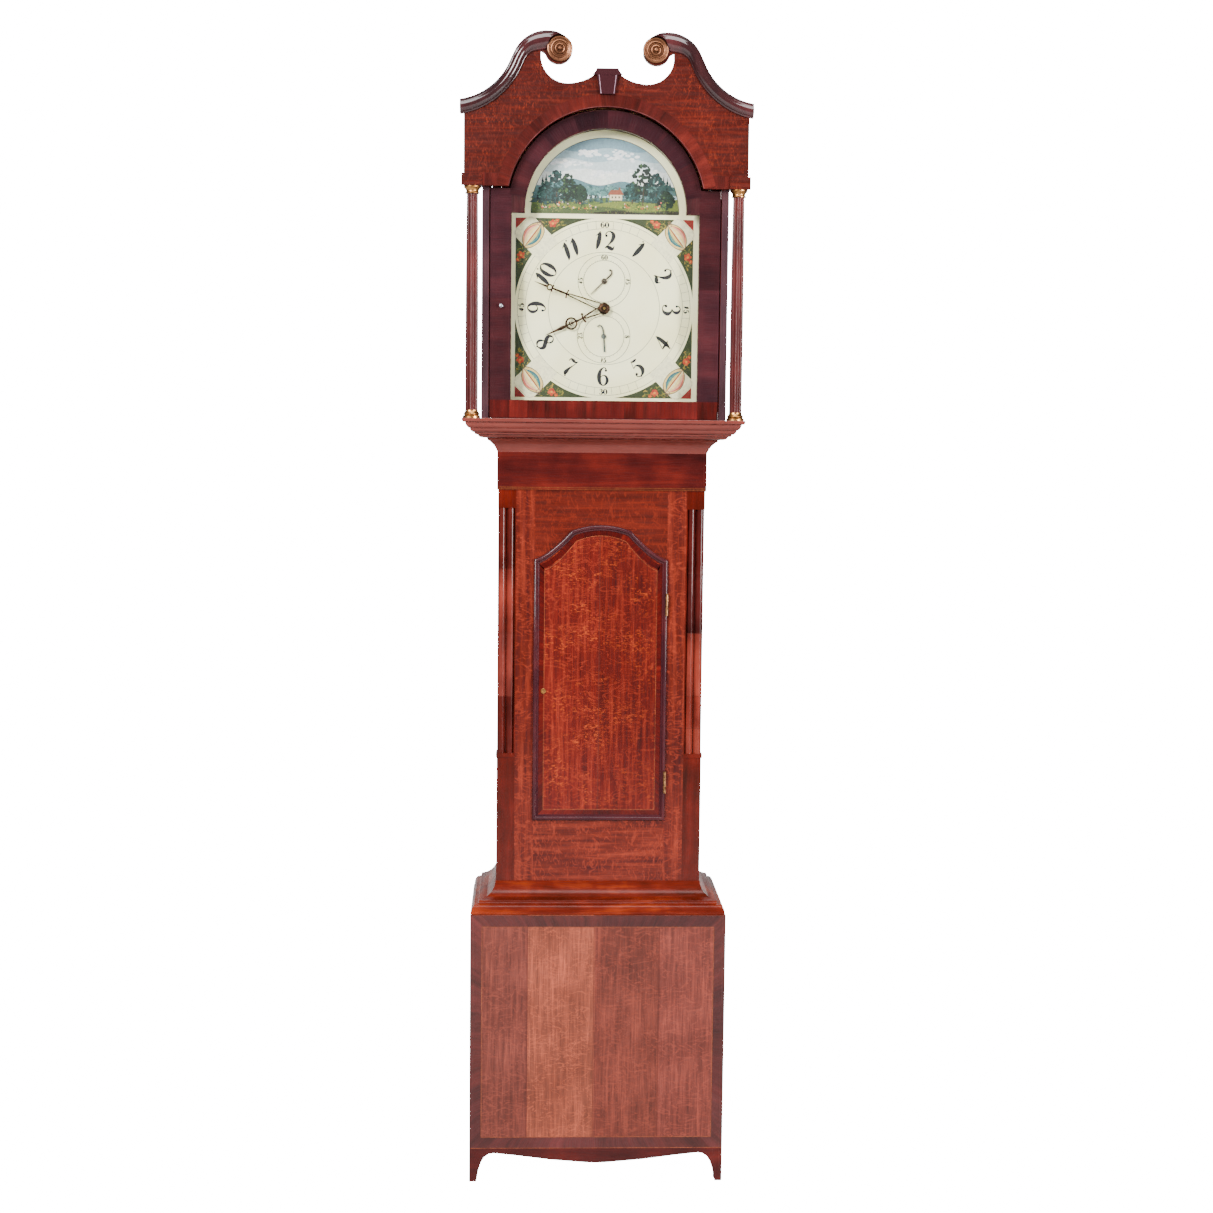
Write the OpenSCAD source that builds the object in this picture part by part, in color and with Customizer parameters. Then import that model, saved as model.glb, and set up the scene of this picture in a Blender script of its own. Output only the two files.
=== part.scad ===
// Longcase clock with a swan neck hood, painted arch dial and a thirty hour posted movement.
// Millimetres. Front faces -Y, +X to the right, the feet stand on Z = 0.

/* [Case] */
// distance the hood stands out from the trunk on each side
hood_reach = 62; // [54:1:68]
// depth of the trunk, front face to back
trunk_d = 190; // [180:1:200]
// distance the base stands out from the trunk on each side
base_reach = 45.3; // [40:0.1:54]
// height of the base box under the waist moulding
base_top = 496; // [480:1:510]
// height of the foot cut
foot_h = 62; // [55:1:70]
// thickness of the case boards
board_t = 14; // [11:0.5:16]
// thickness of the back boards
back_t = 10; // [7:0.5:12]
// width of the boards beside the trunk door
stile_w = 34.4; // [30:0.1:40]
// height of the sill of the trunk door
sill_z = 663; // [640:1:680]
// height of the shoulders of the trunk door
shoulder_z = 1136; // [1110:1:1150]
// rise of the curved top of the trunk door
ogee_rise = 62; // [50:1:70]

/* [Hood] */
// distance of the hood columns from the hood sides
column_gap = 17; // [16:0.5:20]
// radius of the round opening in the front board
arch_r = 173.3; // [170:0.1:176]
// thickness of the front board
front_t = 12; // [10:0.5:12]
// diameter of the hood columns
column_d = 22.3; // [16:0.1:26]
// diameter of the turned rosettes
rosette_d = 45; // [36:1:48]

/* [Dial and hands] */
// width of the square part of the dial that shows
dial_w = 330; // [320:1:332]
// width of the wooden rails of the hood door
door_stile = 37; // [33:0.5:38]
// length of the minute hand
minute_len = 132; // [110:1:140]
// length of the hour hand
hour_len = 115; // [90:1:118]

/* [Movement] */
// diameter of the rope pulleys over the rope centre
rope_run_d = 48; // [44:1:52]
// diameter of the rope
rope_d = 4; // [3:0.5:5]
// diameter of the pendulum bob
bob_d = 104; // [80:2:120]
// diameter of the driving weight
weight_d = 50; // [40:1:51]
// running gap of the arbors in their holes
arbor_fit = 0.05; // [0.02:0.01:0.1]

/* [Hidden] */
$fn = 48;
yFront = -61;
yBack = yFront + trunk_d;
over = base_reach;
yBase = yFront - over - 3.7;
baseTop = base_top;
friezeZ = 1262;
waistTop = baseTop + 53;
// ends of the fluted part of the trunk corners
postFootZ = waistTop + 235;
postTopZ = friezeZ - 33;
coveZ = friezeZ + 67;
hoodZ = coveZ + 34.5;
hoodRim = hoodZ + 25.5;
postW = 32.6;
dialZ = hoodRim + 196;
dialLow = dialZ - dial_w / 2;
dialHigh = dialZ + dial_w / 2;
archZ = dialHigh + 5;
archCut = dialZ + 206;
// rise of the drawn heights of the pediment with the hood
lift = archCut - 1791;
doorT = 18;
yDial = -66;
// the dial sets the door, the door the hood sides, and these the columns, the trunk and the base
doorHalf = dial_w / 2 + door_stile - 0.5;
sideIn = doorHalf + 2;
sideOut = sideIn + 12.5;
colX = sideOut + column_gap;
hoodHalf = colX + 15;
hoodReach = hood_reach;
hx = hoodHalf - hoodReach;
bx = hx + over;
// half the width of the opening behind the trunk door
openHalf = hx - postW - stile_w;
yBoard = yFront - hoodReach + 4;
yDoor = yBoard + front_t + 1;
glassR = dial_w / 2 - 23.5;
colY = yBoard + 13;
capZ = archCut - 13;
footZ = hoodRim + 14;
roofZ = archCut + 144;
seatZ = dialZ - 90;
cheekZ = seatZ - 20;
frameF = -38;
frameB = 52;
topZ = dialZ + 95;
barT = 4;
// heights of the arbors over the dial centre
zGreat = dialZ - 40;
zThird = dialZ + 25.5;
zEscape = dialZ + 48;
zAnchor = dialZ + 76;
// distance of the motion work stud under the centre
motionD = 33;
yGoing = -18;
yStrike = 26;
yPend = 66;
pulleyZ = 1200;
ringZ = 700;
ringR = 6;
ropeX = rope_run_d / 2;
loopR = (yStrike - yGoing) / 2;
yLoop = (yStrike + yGoing) / 2;
bobZ = zAnchor - 994;
hingeX = openHalf + 0.5;
hingeY = yFront - 7;

oak = [0.60, 0.27, 0.15];
mahogany = [0.34, 0.12, 0.10];
brassC = [0.80, 0.62, 0.28];
steelC = [0.55, 0.56, 0.58];
pine = [0.66, 0.50, 0.33];
creamC = [0.94, 0.92, 0.84];
glassC = [0.8, 0.9, 0.9, 0.3];
leadC = [0.35, 0.36, 0.38];
ropeC = [0.72, 0.64, 0.48];

// name of the one node to draw, or all of them

// ---- helpers

// a flat XZ drawing made solid between two depths
module face(y0, y1) {
  translate([0, y1, 0]) rotate([90, 0, 0]) linear_extrude(height = y1 - y0) children();
}

// a flat YZ drawing made solid between two X values
module flank(x0, x1) {
  translate([x0, 0, 0]) rotate([90, 0, 90]) linear_extrude(height = x1 - x0) children();
}

module block(x0, x1, y0, y1, z0, z1) {
  translate([x0, y0, z0]) cube([x1 - x0, y1 - y0, z1 - z0]);
}

// a rod along Y
module rodY(x, z, r, y0, y1) {
  translate([x, y1, z]) rotate([90, 0, 0]) cylinder(r = r, h = y1 - y0);
}

// a rod along Z
module rodZ(x, y, r, z0, z1) {
  translate([x, y, z0]) cylinder(r = r, h = z1 - z0);
}

module mirrorX(right) {
  if (right) mirror([1, 0, 0]) children();
  else children();
}

// moulding mitred round the front and both sides; profile points are [outward, height]
module roundFront(profile, x, yf, yb, reach) {
  intersection() {
    flank(-x - reach, x + reach) polygon([for (p = profile) [yf - p[0], p[1]]]);
    linear_extrude(height = 2100)
      polygon([[-x - reach, yf - reach], [x + reach, yf - reach], [x, yf], [-x, yf]]);
  }
  for (side = [0, 1]) mirrorX(side == 1) intersection() {
    face(yf - reach, yb) polygon([for (p = profile) [-x - p[0], p[1]]]);
    linear_extrude(height = 2100)
      polygon([[-x - reach, yf - reach], [-x, yf], [-x, yb], [-x - reach, yb]]);
  }
}

function arc(x, z, r, a0, a1, n) = [for (i = [0:n])
  let (a = a0 + (a1 - a0) * i / n) [x + r * cos(a), z + r * sin(a)]];

// curved top of the trunk door: round crown between two hollow shoulders
function ogee(half, shoulder, rise) = [for (i = [0:32])
  let (x = half * (1 - i / 16), u = abs(x) / half)
  [x, shoulder + rise * (u < 0.45 ? 1 - 0.86 * u * u : pow(max(0, (1 - u) / 0.55), 1.45) * 0.82585)]];

// toothed disc outline; the tooth is a straight sided wedge
function toothed(n, m, add, ded, wide, top, turn) = [for (i = [0:n - 1], k = [0:3])
  let (pitch = 360 / n, a = turn + i * pitch,
       r = (k == 0 || k == 3) ? m * n / 2 - ded * m : m * n / 2 + add * m,
       w = (k == 0 || k == 3) ? wide : top,
       s = (k < 2) ? -1 : 1)
  [r * cos(a + s * w * pitch / 2), r * sin(a + s * w * pitch / 2)]];

// wheel with arms, lying in the XZ plane
module wheel(x, z, n, m, y0, y1, hub, turn, arms = 4) {
  translate([x, 0, z]) face(y0, y1) difference() {
    polygon(toothed(n, m, 0.75, 0.95, 0.58, 0.26, turn));
    difference() {
      circle(r = m * n / 2 - 3.4);
      circle(r = hub);
      for (i = [0:arms - 1]) rotate(i * 360 / arms + 45)
        translate([0, -1.6]) square([m * n, 3.2]);
    }
  }
}

module pinion(x, z, n, m, y0, y1, turn) {
  translate([x, 0, z]) face(y0, y1) polygon(toothed(n, m, 0.62, 1.15, 0.52, 0.2, turn));
}

// ---- case

module backboard() color(pine) {
  face(yBack - back_t, yBack) polygon([[-bx + board_t, foot_h + 4], [bx - board_t, foot_h + 4],
    [bx - board_t, baseTop], [hx, baseTop], [hx, roofZ - 5], [-hx, roofZ - 5], [-hx, baseTop],
    [-bx + board_t, baseTop]]);
}

// side of the base, cut into two feet at the floor
module baseSide(right) color(oak) mirrorX(right) flank(-bx, -bx + board_t)
  polygon(concat([[yBase + board_t, 0]], [[yBase + 20, 0], [yBase + 24, 22], [yBase + 29, 37],
    [yBase + 36, 47], [yBase + 46, 52]], [[yBack - 46, 52], [yBack - 36, 47], [yBack - 29, 37],
    [yBack - 24, 22], [yBack - 20, 0]], [[yBack, 0], [yBack, baseTop],
    [yBase + board_t, baseTop]]));

module base_side_left() baseSide(false);
module base_side_right() baseSide(true);

module base_front() color(oak) block(-bx, bx, yBase, yBase + board_t, foot_h, baseTop);

module front_apron() color(mahogany) {
  half = [[bx, 0], [bx - 13, 0], [bx - 17, 22], [bx - 22, 37], [bx - 27.5, 46], [bx - 35.7, 51.7],
    [bx - 45, 53.2], [bx * 0.62, 48.5], [bx * 0.367, 40.9], [bx * 0.084, 35.3], [0, 34.6]];
  face(yBase, yBase + board_t) polygon(concat([[bx, foot_h]], half,
    [for (i = [len(half) - 2:-1:0]) [-half[i][0], half[i][1]]], [[-bx, foot_h]]));
}

// hollow moulding; its steps outwards follow the width of the base
module waist_moulding() color(oak) {
  k = over / 45.3;
  roundFront([[0, waistTop], [0.8 * k, waistTop], [2 * k, waistTop - 8], [5 * k, waistTop - 15],
    [9.5 * k, waistTop - 21], [15.5 * k, waistTop - 25.5], [23 * k, waistTop - 28.5],
    [30.4 * k, waistTop - 30], [30.4 * k, waistTop - 34], [33 * k, waistTop - 36],
    [37.5 * k, waistTop - 36.6], [40.4 * k, waistTop - 39], [42.6 * k, waistTop - 43],
    [43.8 * k, waistTop - 48], [43.6 * k, baseTop], [0, baseTop]], hx, yFront, yBack, over + 1);
}

module trunkSide(right) color(oak) mirrorX(right) flank(-hx, -hx + board_t)
  polygon([[yFront + postW, baseTop + 0.1], [yBack - back_t, baseTop + 0.1],
    [yBack - back_t, cheekZ], [yFront + 18, cheekZ], [yFront + 18, friezeZ],
    [yFront + postW, friezeZ]]);

module trunk_side_left() trunkSide(false);
module trunk_side_right() trunkSide(true);

module trunk_stiles() color(oak) for (s = [0, 1]) mirrorX(s == 1)
  block(-hx + postW, -openHalf, yFront, yFront + 18, baseTop + 0.1, friezeZ);

module trunk_top_rail() color(oak) face(yFront, yFront + 18) {
  half = openHalf;
  polygon(concat([[half, friezeZ]], [[half, shoulder_z]], ogee(half, shoulder_z, ogee_rise),
    [[-half, shoulder_z], [-half, friezeZ]]));
}

module trunk_bottom_rail() color(oak)
  block(-openHalf, openHalf, yFront, yFront + 18, baseTop + 0.1, sill_z);

module trunk_frieze() color(mahogany) {
  block(-hx - 2, hx + 2, yFront - 2, yFront + 18, friezeZ, coveZ);
  block(-hx, hx, yFront, yFront + 18, coveZ - 1, hoodZ);
}

// corner of the trunk: a plain block below, a rebate for the reeded column, a block above
module cornerPost(right) color(mahogany) mirrorX(right) difference() {
  union() {
    block(-hx, -hx + postW, yFront, yFront + postW, baseTop + 0.1, friezeZ);
    block(-hx - 1.6, -hx + postW - 0.2, yFront - 1.6, yFront + postW, 776.5, 784);
  }
  block(-hx - 5, -hx + 30.5, yFront - 5, yFront + 30.5, postFootZ, postTopZ);
}

module corner_post_left() cornerPost(false);
module corner_post_right() cornerPost(true);

// reeded quarter column: three long rounds on a square core
module quarterColumn(right) color(mahogany) mirrorX(right) {
  block(-hx + 7.2, -hx + 30.4, yFront + 7.2, yFront + 30.4, postFootZ, postTopZ);
  rodZ(-hx + 7.4, yFront + 7.4, 7.2, postFootZ, postTopZ);
  rodZ(-hx + 23.2, yFront + 7.4, 7, postFootZ, postTopZ);
  rodZ(-hx + 7.4, yFront + 23.2, 7, postFootZ, postTopZ);
}

module quarter_column_left() quarterColumn(false);
module quarter_column_right() quarterColumn(true);

// moulding at the trunk top that carries the hood
module trunk_cove() color(mahogany) {
  roundFront([[0, coveZ], [2, coveZ], [3.4, coveZ + 4], [6.3, coveZ + 9.5], [10.5, coveZ + 15],
    [15.5, coveZ + 19.5], [19.5, coveZ + 22.5], [19.5, coveZ + 25], [29, coveZ + 25.5],
    [33, coveZ + 27], [36, coveZ + 30], [41, coveZ + 32], [42, hoodZ],
    [0, hoodZ]], hx, yFront, yBack - back_t, 60);
}

module seatboard() color(pine) difference() {
  block(-hx, hx, frameF, frameB + 2, cheekZ, seatZ);
  for (x = [-ropeX, ropeX], y = [yGoing, yStrike]) rodZ(x, y, 7, cheekZ - 1, seatZ + 1);
}

// ---- dial and movement frame

module dial_plate() color(creamC) {
  half = dial_w / 2 + 4;
  difference() {
    union() {
      face(yDial, yDial + 1.6) polygon(concat([[-half, dialLow - 3], [half, dialLow - 3],
        [half, dialHigh + 1]], arc(0, dialHigh + 1, glassR + 4, 0, 180, 48),
        [[-half, dialHigh + 1]]));
      for (x = [-45, 45], z = [seatZ + 1.5, topZ + 1.5])
        rodY(x, z, 3, yDial + 1.5, frameF);
    }
    rodY(0, dialZ, 7.5, yDial - 1, yDial + 3);
    rodY(0, zEscape, 2, yDial - 1, yDial + 3);
    rodY(0, dialZ - 49, 1.55, yDial - 1, yDial + 3);
  }
}

// iron plates and the four brass corner pillars riveted between them
module movement_frame() color(steelC) {
  difference() {
    block(-55, 55, frameF, frameB, seatZ, seatZ + 3);
    for (x = [-ropeX, ropeX], y = [yGoing, yStrike]) rodZ(x, y, 7, seatZ - 1, seatZ + 4);
  }
  difference() {
    block(-55, 55, frameF, frameB, topZ, topZ + 3);
    rodZ(44, 30, 2.5 + arbor_fit, topZ - 1, topZ + 4);
  }
  for (x = [-49, 49], y = [frameF + 6, frameB - 6]) {
    rodZ(x, y, 4, seatZ + 2, topZ + 1);
    for (z = [seatZ + 3, topZ - 8]) rodZ(x, y, 5.5, z, z + 8);
  }
}

module bar(y, holes) {
  difference() {
    block(-15, 15, y, y + barT, seatZ + 3, topZ);
    for (h = holes) rodY(0, h[0], h[1] + arbor_fit, y - 1, y + barT + 1);
  }
}

// three upright brass bars that carry the arbors
module train_bars() color(brassC) {
  bar(frameF, [[zGreat, 2], [dialZ, 3], [zThird, 1], [zEscape, 1], [zAnchor, 1.2]]);
  bar(4, [[zGreat, 2], [dialZ, 1.2], [zThird, 1], [zEscape, 1], [zAnchor, 2.6]]);
  bar(frameB - barT, [[zGreat, 2], [zAnchor, 1.2]]);
  // stud that carries the motion work wheel
  rodY(0, dialZ - motionD, 1, frameF - 14, frameF);
  // bridge from which the pendulum hangs
  block(-12, 12, frameB, yPend + 4, zAnchor + 12, zAnchor + 16);
  block(-12, 12, frameB - 0.01, frameB + 3, zAnchor + 4, zAnchor + 16);
}

module bell() color(brassC) {
  translate([0, 10, topZ + 40]) {
    rotate_extrude() polygon([[0, 20], [8, 19.6], [18, 17.5], [27, 12.5], [33, 5], [36.5, -6],
      [38, -16], [41, -20], [39, -20], [36, -16], [34.5, -6], [31, 4], [25.5, 10.5],
      [17, 15.3], [8, 17.5], [0, 18]]);
    translate([0, 0, 19]) cylinder(r = 4, h = 6);
    translate([0, 0, -37]) cylinder(r = 2.4, h = 56);
    translate([0, 0, -37]) cylinder(r = 6, h = 5);
  }
}

// ---- hood

module hoodSide(right) color(oak) mirrorX(right)
  block(-sideOut, -sideIn, yBoard + front_t, yBack, hoodRim, roofZ);

module hood_side_left() hoodSide(false);
module hood_side_right() hoodSide(true);

module hood_top() color(pine) {
  block(-sideOut, sideOut, yBoard + front_t, yBack, roofZ, roofZ + 9);
  // blocks that hold the column caps and the front board to the sides
  for (s = [0, 1]) mirrorX(s == 1)
    block(-hoodHalf + 3, -sideOut, yBoard + front_t, yBoard + front_t + 14, archCut, archCut + 24);
}

// base of the hood: a moulded frame, open at the back
module hood_base_frame() color(mahogany) {
  roundFront([[0, hoodZ + 0.5], [hoodReach - 20, hoodZ + 0.5], [hoodReach - 14, hoodZ + 5],
    [hoodReach - 9, hoodZ + 8.5], [hoodReach - 4, hoodZ + 13], [hoodReach - 1, hoodZ + 18],
    [hoodReach, hoodRim - 3], [hoodReach, hoodRim], [0, hoodRim]],
    hx + 1.5, yFront - 2.5, yBack, hoodReach + 2);
}

// centre of the left rosette
eye = [-83.2 * hoodHalf / 248, 2025.6 + lift];
// centre and radius of the arcs of the left swan neck
hollowC = [-271.6, 2047.5];
hollowR = 111.7;
crownC = [-104.4, 1991.8];
crownR = 63.5;
turnC = [-101, 2014.8];
turnR = 40.5;
eyeC = [-85, 2027.2];
eyeR = 24;
// the necks rise with the hood and stretch sideways with its width
function wide(points) = [for (p = points) [p[0] * hoodHalf / 248, p[1] + lift]];
// upper edge: hollow rise, round crown, then in to the eye
outerL = wide(concat([[-255, 1936.9]], arc(hollowC[0], hollowC[1], hollowR, -78, -22, 10),
  arc(crownC[0], crownC[1], crownR, 149, 92, 8), arc(turnC[0], turnC[1], turnR, 82, 16, 7),
  arc(eyeC[0], eyeC[1], eyeR, -12, -178, 12)));
// lower edge: back along the same rise, one moulding width lower
lowerL = wide(concat([[-137.5, 2020.6]], arc(-278, 2051.5, 141.7, -19.5, -77.5, 9),
  [[-249.5, 1913.4], [-255, 1917]]));
// hollow in the board between the scroll and the keystone
curveC = concat([[-115.3, 2022]], arc(-69.4, 2013.8, 46.3, 184, 272, 9),
  arc(-68, 2043.5, 75.6, 276, 314, 5));

// front board with the swan neck outline above and the round opening below
module arch_front() color(oak) {
  boardFace();
  // small blocks over the column caps
  for (s = [0, 1]) mirrorX(s == 1)
    block(-hoodHalf - 4, -sideOut, yBoard - 2.5, yBoard, archCut, archCut + 21);
}

module boardFace() face(yBoard, yBoard + front_t) {
  half = hoodHalf;
  top = concat([[-half, archCut], [-half, archCut + 143]], [for (i = [2:40]) outerL[i] - [0, 3]],
    wide(curveC));
  difference() {
    polygon(concat(top, [for (i = [len(top) - 1:-1:0]) [-top[i][0], top[i][1]]]));
    translate([0, archZ]) circle(r = arch_r, $fn = 96);
  }
}

// swan neck moulding planted on the board, its front rounded in three steps
module swanNeck(right) color(mahogany) mirrorX(right) difference() {
  union() {
    face(yBoard - 5, yBoard) polygon(concat(outerL, lowerL));
    face(yBoard - 8.5, yBoard - 5) polygon(concat([for (p = outerL) p + [0.4, -2.2]],
      [for (p = lowerL) p + [1.2, 2.2]]));
    face(yBoard - 10, yBoard - 8.5) polygon(concat([for (p = outerL) p + [0.8, -5]],
      [for (p = lowerL) p + [2.2, 5]]));
  }
  // seat of the rosette
  rodY(eye[0], eye[1], rosette_d / 2 + 0.1, yBoard - 20, yBoard + 1);
}

module swan_neck_left() swanNeck(false);
module swan_neck_right() swanNeck(true);

// two turned brass discs in the eyes of the scrolls
module rosettes() color(brassC) for (s = [0, 1]) mirrorX(s == 1)
  translate([eye[0], yBoard, eye[1]]) rotate([90, 0, 0]) intersection() {
    rotate_extrude() polygon([[0, 0], [rosette_d / 2, 0], [rosette_d / 2, 4.5], [19.5, 6.5],
      [16.5, 6.5], [15, 4.8], [12.5, 4.8], [11, 7.5], [8.5, 7.5], [7.5, 5.4], [5.5, 5.4],
      [5, 8], [3, 9.6], [0, 10]]);
    cylinder(r = 30, h = 12);
  }

module keystone() color(mahogany) translate([0, 0, lift]) face(yBoard - 6, yBoard)
  polygon([[-11, 1949], [11, 1949], [16.5, 1983], [18.5, 1987], [16, 1993.6], [-16, 1993.6],
    [-18.5, 1987], [-16.5, 1983]]);

module hoodColumn(right) color(mahogany) mirrorX(right)
  rodZ(-colX, colY, column_d / 2, footZ, capZ);

module hood_column_left() hoodColumn(false);
module hood_column_right() hoodColumn(true);

// brass caps and feet of the two columns
module column_brasses() color(brassC) for (s = [0, 1]) mirrorX(s == 1)
  translate([-colX, colY, 0]) {
    r = column_d / 2;
    rotate_extrude() polygon([[0, hoodRim], [r + 4.5, hoodRim], [r + 4.5, hoodRim + 3.5],
      [r + 2, hoodRim + 5], [r + 3, hoodRim + 7.5], [r + 1, hoodRim + 10.5], [r, footZ], [0, footZ]]);
    rotate_extrude() polygon([[0, capZ], [r, capZ], [r + 1.2, capZ + 3], [r + 0.6, capZ + 5],
      [r + 3, capZ + 8], [r + 3.8, capZ + 9.5], [r + 3.8, archCut], [0, archCut]]);
  }

// ---- hood door

module doorOutline(half, r, low, high) {
  union() {
    translate([-half, low]) square([2 * half, high - low]);
    translate([0, archZ]) circle(r = r, $fn = 96);
  }
}

module hood_door_frame() color(mahogany) difference() {
  union() {
    face(yDoor, yDoor + doorT) doorOutline(doorHalf, arch_r - 2.8, hoodRim + 0.6, archCut - 2);
    // knuckles of the pivot hinges on the outer front corner
    for (z = [hoodRim + 0.6, archCut - 16]) rodZ(doorHalf, yDoor, 1.7, z, z + 14);
  }
  face(yDoor - 1, yDoor + doorT + 1) union() {
    translate([-dial_w / 2 + 0.5, dialLow + 1.5]) square([dial_w - 1, dial_w - 4.5]);
    translate([0, dialHigh + 2]) circle(r = glassR, $fn = 96);
  }
  // rebate for the glass
  face(yDoor + 12, yDoor + doorT + 1) union() {
    paneShape();
  }
}

// outline of the pane and its rebate
module paneShape() {
  translate([-dial_w / 2 - 4, dialLow - 3]) square([dial_w + 8, dial_w + 4]);
  translate([0, dialHigh + 2]) circle(r = glassR + 4.5, $fn = 96);
}

module hood_door_glass() color(glassC) face(yDoor + 12, yDoor + 14) paneShape();

// ---- trunk door

module trunkDoorShape(cut) {
  half = openHalf - cut;
  polygon(concat([[half, sill_z + cut]], ogee(half, shoulder_z - cut, ogee_rise),
    [[-half, sill_z + cut]]));
}

module trunk_door_panel() color(oak) face(yFront, yFront + 18) trunkDoorShape(1.4);

module trunk_door_moulding() color(mahogany) difference() {
  union() {
    face(yFront - 5.6, yFront - 0.6) difference() {
      trunkDoorShape(-2);
      trunkDoorShape(8.5);
    }
    face(yFront - 0.7, yFront) difference() {
      trunkDoorShape(2);
      trunkDoorShape(8.5);
    }
  }
  for (z = hingeZs) block(openHalf - 3.2, hingeX + 9, yFront - 7, yFront, z - 1, z + 41);
}

hingeZs = [1037.5, 712.5];

module trunk_hinges() color(brassC) for (z = hingeZs) {
  rodZ(hingeX, hingeY, 2.8, z, z + 40);
  block(openHalf - 0.6, openHalf, hingeY + 1, yFront + 12, z, z + 40);
}

// ---- going train

module great_wheel() color(brassC) {
  wheel(0, zGreat, 60, 1, -30, -27.5, 9, 3);
  rodY(0, zGreat, 2, frameF + 0.5, 5.8);
  rodY(0, zGreat, 4, -32, -27.4);
  // rope pulley with its two cheeks
  rodY(0, zGreat, ropeX - rope_d / 2 - 0.3, yGoing - 5, yGoing + 5);
  for (y = [yGoing - 5, yGoing + 3.5]) rodY(0, zGreat, ropeX + 3, y, y + 1.5);
  rodY(0, zGreat, 8, -27.6, yGoing - 5);
}

module centre_wheel() color(brassC) {
  wheel(0, dialZ, 60, 0.75, -11, -9, 6, 0);
  rodY(0, dialZ, 1.2, -20, 7.5);
  rodY(0, dialZ, 3, frameF - 12, -19);
  rodY(0, dialZ, 2.5, yDial - 14, frameF - 11);
  pinion(0, dialZ, 20, 1, -32, -25, 0);
  // cannon wheel of the motion work
  wheel(0, dialZ, 36, motionD / 36, frameF - 5, frameF - 3, 5, 5);
}

module third_wheel() color(brassC) {
  wheel(0, zThird, 56, 0.7142857, -5, -3, 5, 0);
  pinion(0, zThird, 8, 0.75, -13, -7, 22.5);
  rodY(0, zThird, 1, frameF + 0.5, 7.5);
}

// escape wheel with thirty raking teeth
module escape_wheel() color(brassC) {
  translate([0, 0, zEscape]) face(1, 2.6) difference() {
    polygon([for (i = [0:29], k = [0:2]) let (a = i * 12, r = k == 1 ? 19 : 15.6)
      [r * cos(a + [0, 3, 4.5][k]), r * sin(a + [0, 3, 4.5][k])]]);
    difference() {
      circle(r = 13.4);
      circle(r = 4);
      for (i = [0:3]) rotate(i * 90) translate([0, -1.2]) square([20, 2.4]);
    }
  }
  pinion(0, zEscape, 7, 0.7142857, -7, -1, 270 - 4.5 * 360 / 7);
  rodY(0, zEscape, 1, yDial - 3.5, 7.5);
}

module seconds_hand() color(steelC) translate([0, 0, zEscape]) rotate([0, 45 + 180, 0]) {
  difference() {
    rodY(0, 0, 5.3, yDial - 3.4, yDial - 2.2);
    rodY(0, 0, 1.02, yDial - 4, yDial - 2);
  }
  face(yDial - 3.4, yDial - 2.4) polygon([[-1.2, 5], [1.2, 5], [0.5, 34], [-0.5, 34]]);
  face(yDial - 3.4, yDial - 2.4) polygon([[-1.4, -5], [1.4, -5], [1.6, -14], [4, -20], [3, -21],
    [0, -15]]);
}

// recoil anchor on its arbor, with the crutch behind the frame
module anchor() color(steelC) {
  translate([0, 0, zAnchor]) face(0.9, 2.7) polygon([[-3, 3], [3, 3], [16.5, -8], [22, -21],
    [20, -22], [14, -11.5], [2, -3], [-2, -3], [-14, -11.5], [-20, -22], [-22, -21],
    [-16.5, -8]]);
  rodY(0, zAnchor, 1.2, frameF + 0.5, yPend - 8);
  block(-1.5, 1.5, frameB + 3.6, frameB + 6, zAnchor - 78, zAnchor + 1);
  block(-1.2, 1.2, frameB + 3.6, yPend - 3.4, zAnchor - 80, zAnchor - 77.5);
}

module pendulum_rod() color(steelC) {
  rodZ(0, yPend, 2.5, bobZ - 78, zAnchor - 26);
  block(-3, 3, yPend - 1.5, yPend + 1.5, zAnchor - 27, zAnchor - 22);
  block(-2, 2, yPend - 0.5, yPend + 0.5, zAnchor - 23, zAnchor + 11.6);
  rodZ(0, yPend, 7, bobZ - 66, bobZ - 60);
}

module pendulum_bob() color(brassC) difference() {
  translate([0, yPend, bobZ]) rotate([90, 0, 0]) rotate_extrude()
    polygon([[0, -13], [20, -12], [34, -9.6], [45, -6], [bob_d / 2, -1.2], [bob_d / 2, 1.2],
      [45, 6], [34, 9.6], [20, 12], [0, 13]]);
  rodZ(0, yPend, 2.5 + arbor_fit, bobZ - 60, bobZ + 60);
}

// ---- hands and motion work

module minute_hand() color(brassC) translate([0, 0, dialZ]) rotate([0, 290.2, 0]) {
  difference() {
    rodY(0, 0, 9, yDial - 13, yDial - 11.4);
    rodY(0, 0, 2.5 + arbor_fit, yDial - 14, yDial - 10);
  }
  face(yDial - 12.8, yDial - 11.6) {
    for (s = [-1, 1]) polygon([[s * 5.4, 7], [s * 6.6, 8], [s * 1.7, 70], [s * 0.5, 70]]);
    polygon([[-1.7, 68], [1.7, 68], [1.2, 96], [0, minute_len], [-1.2, 96]]);
    translate([0, 71]) square([11, 1.8], center = true);
    difference() {
      translate([0, 103]) circle(r = 5.5);
      translate([0, 103]) circle(r = 3.6);
    }
  }
}

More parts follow.
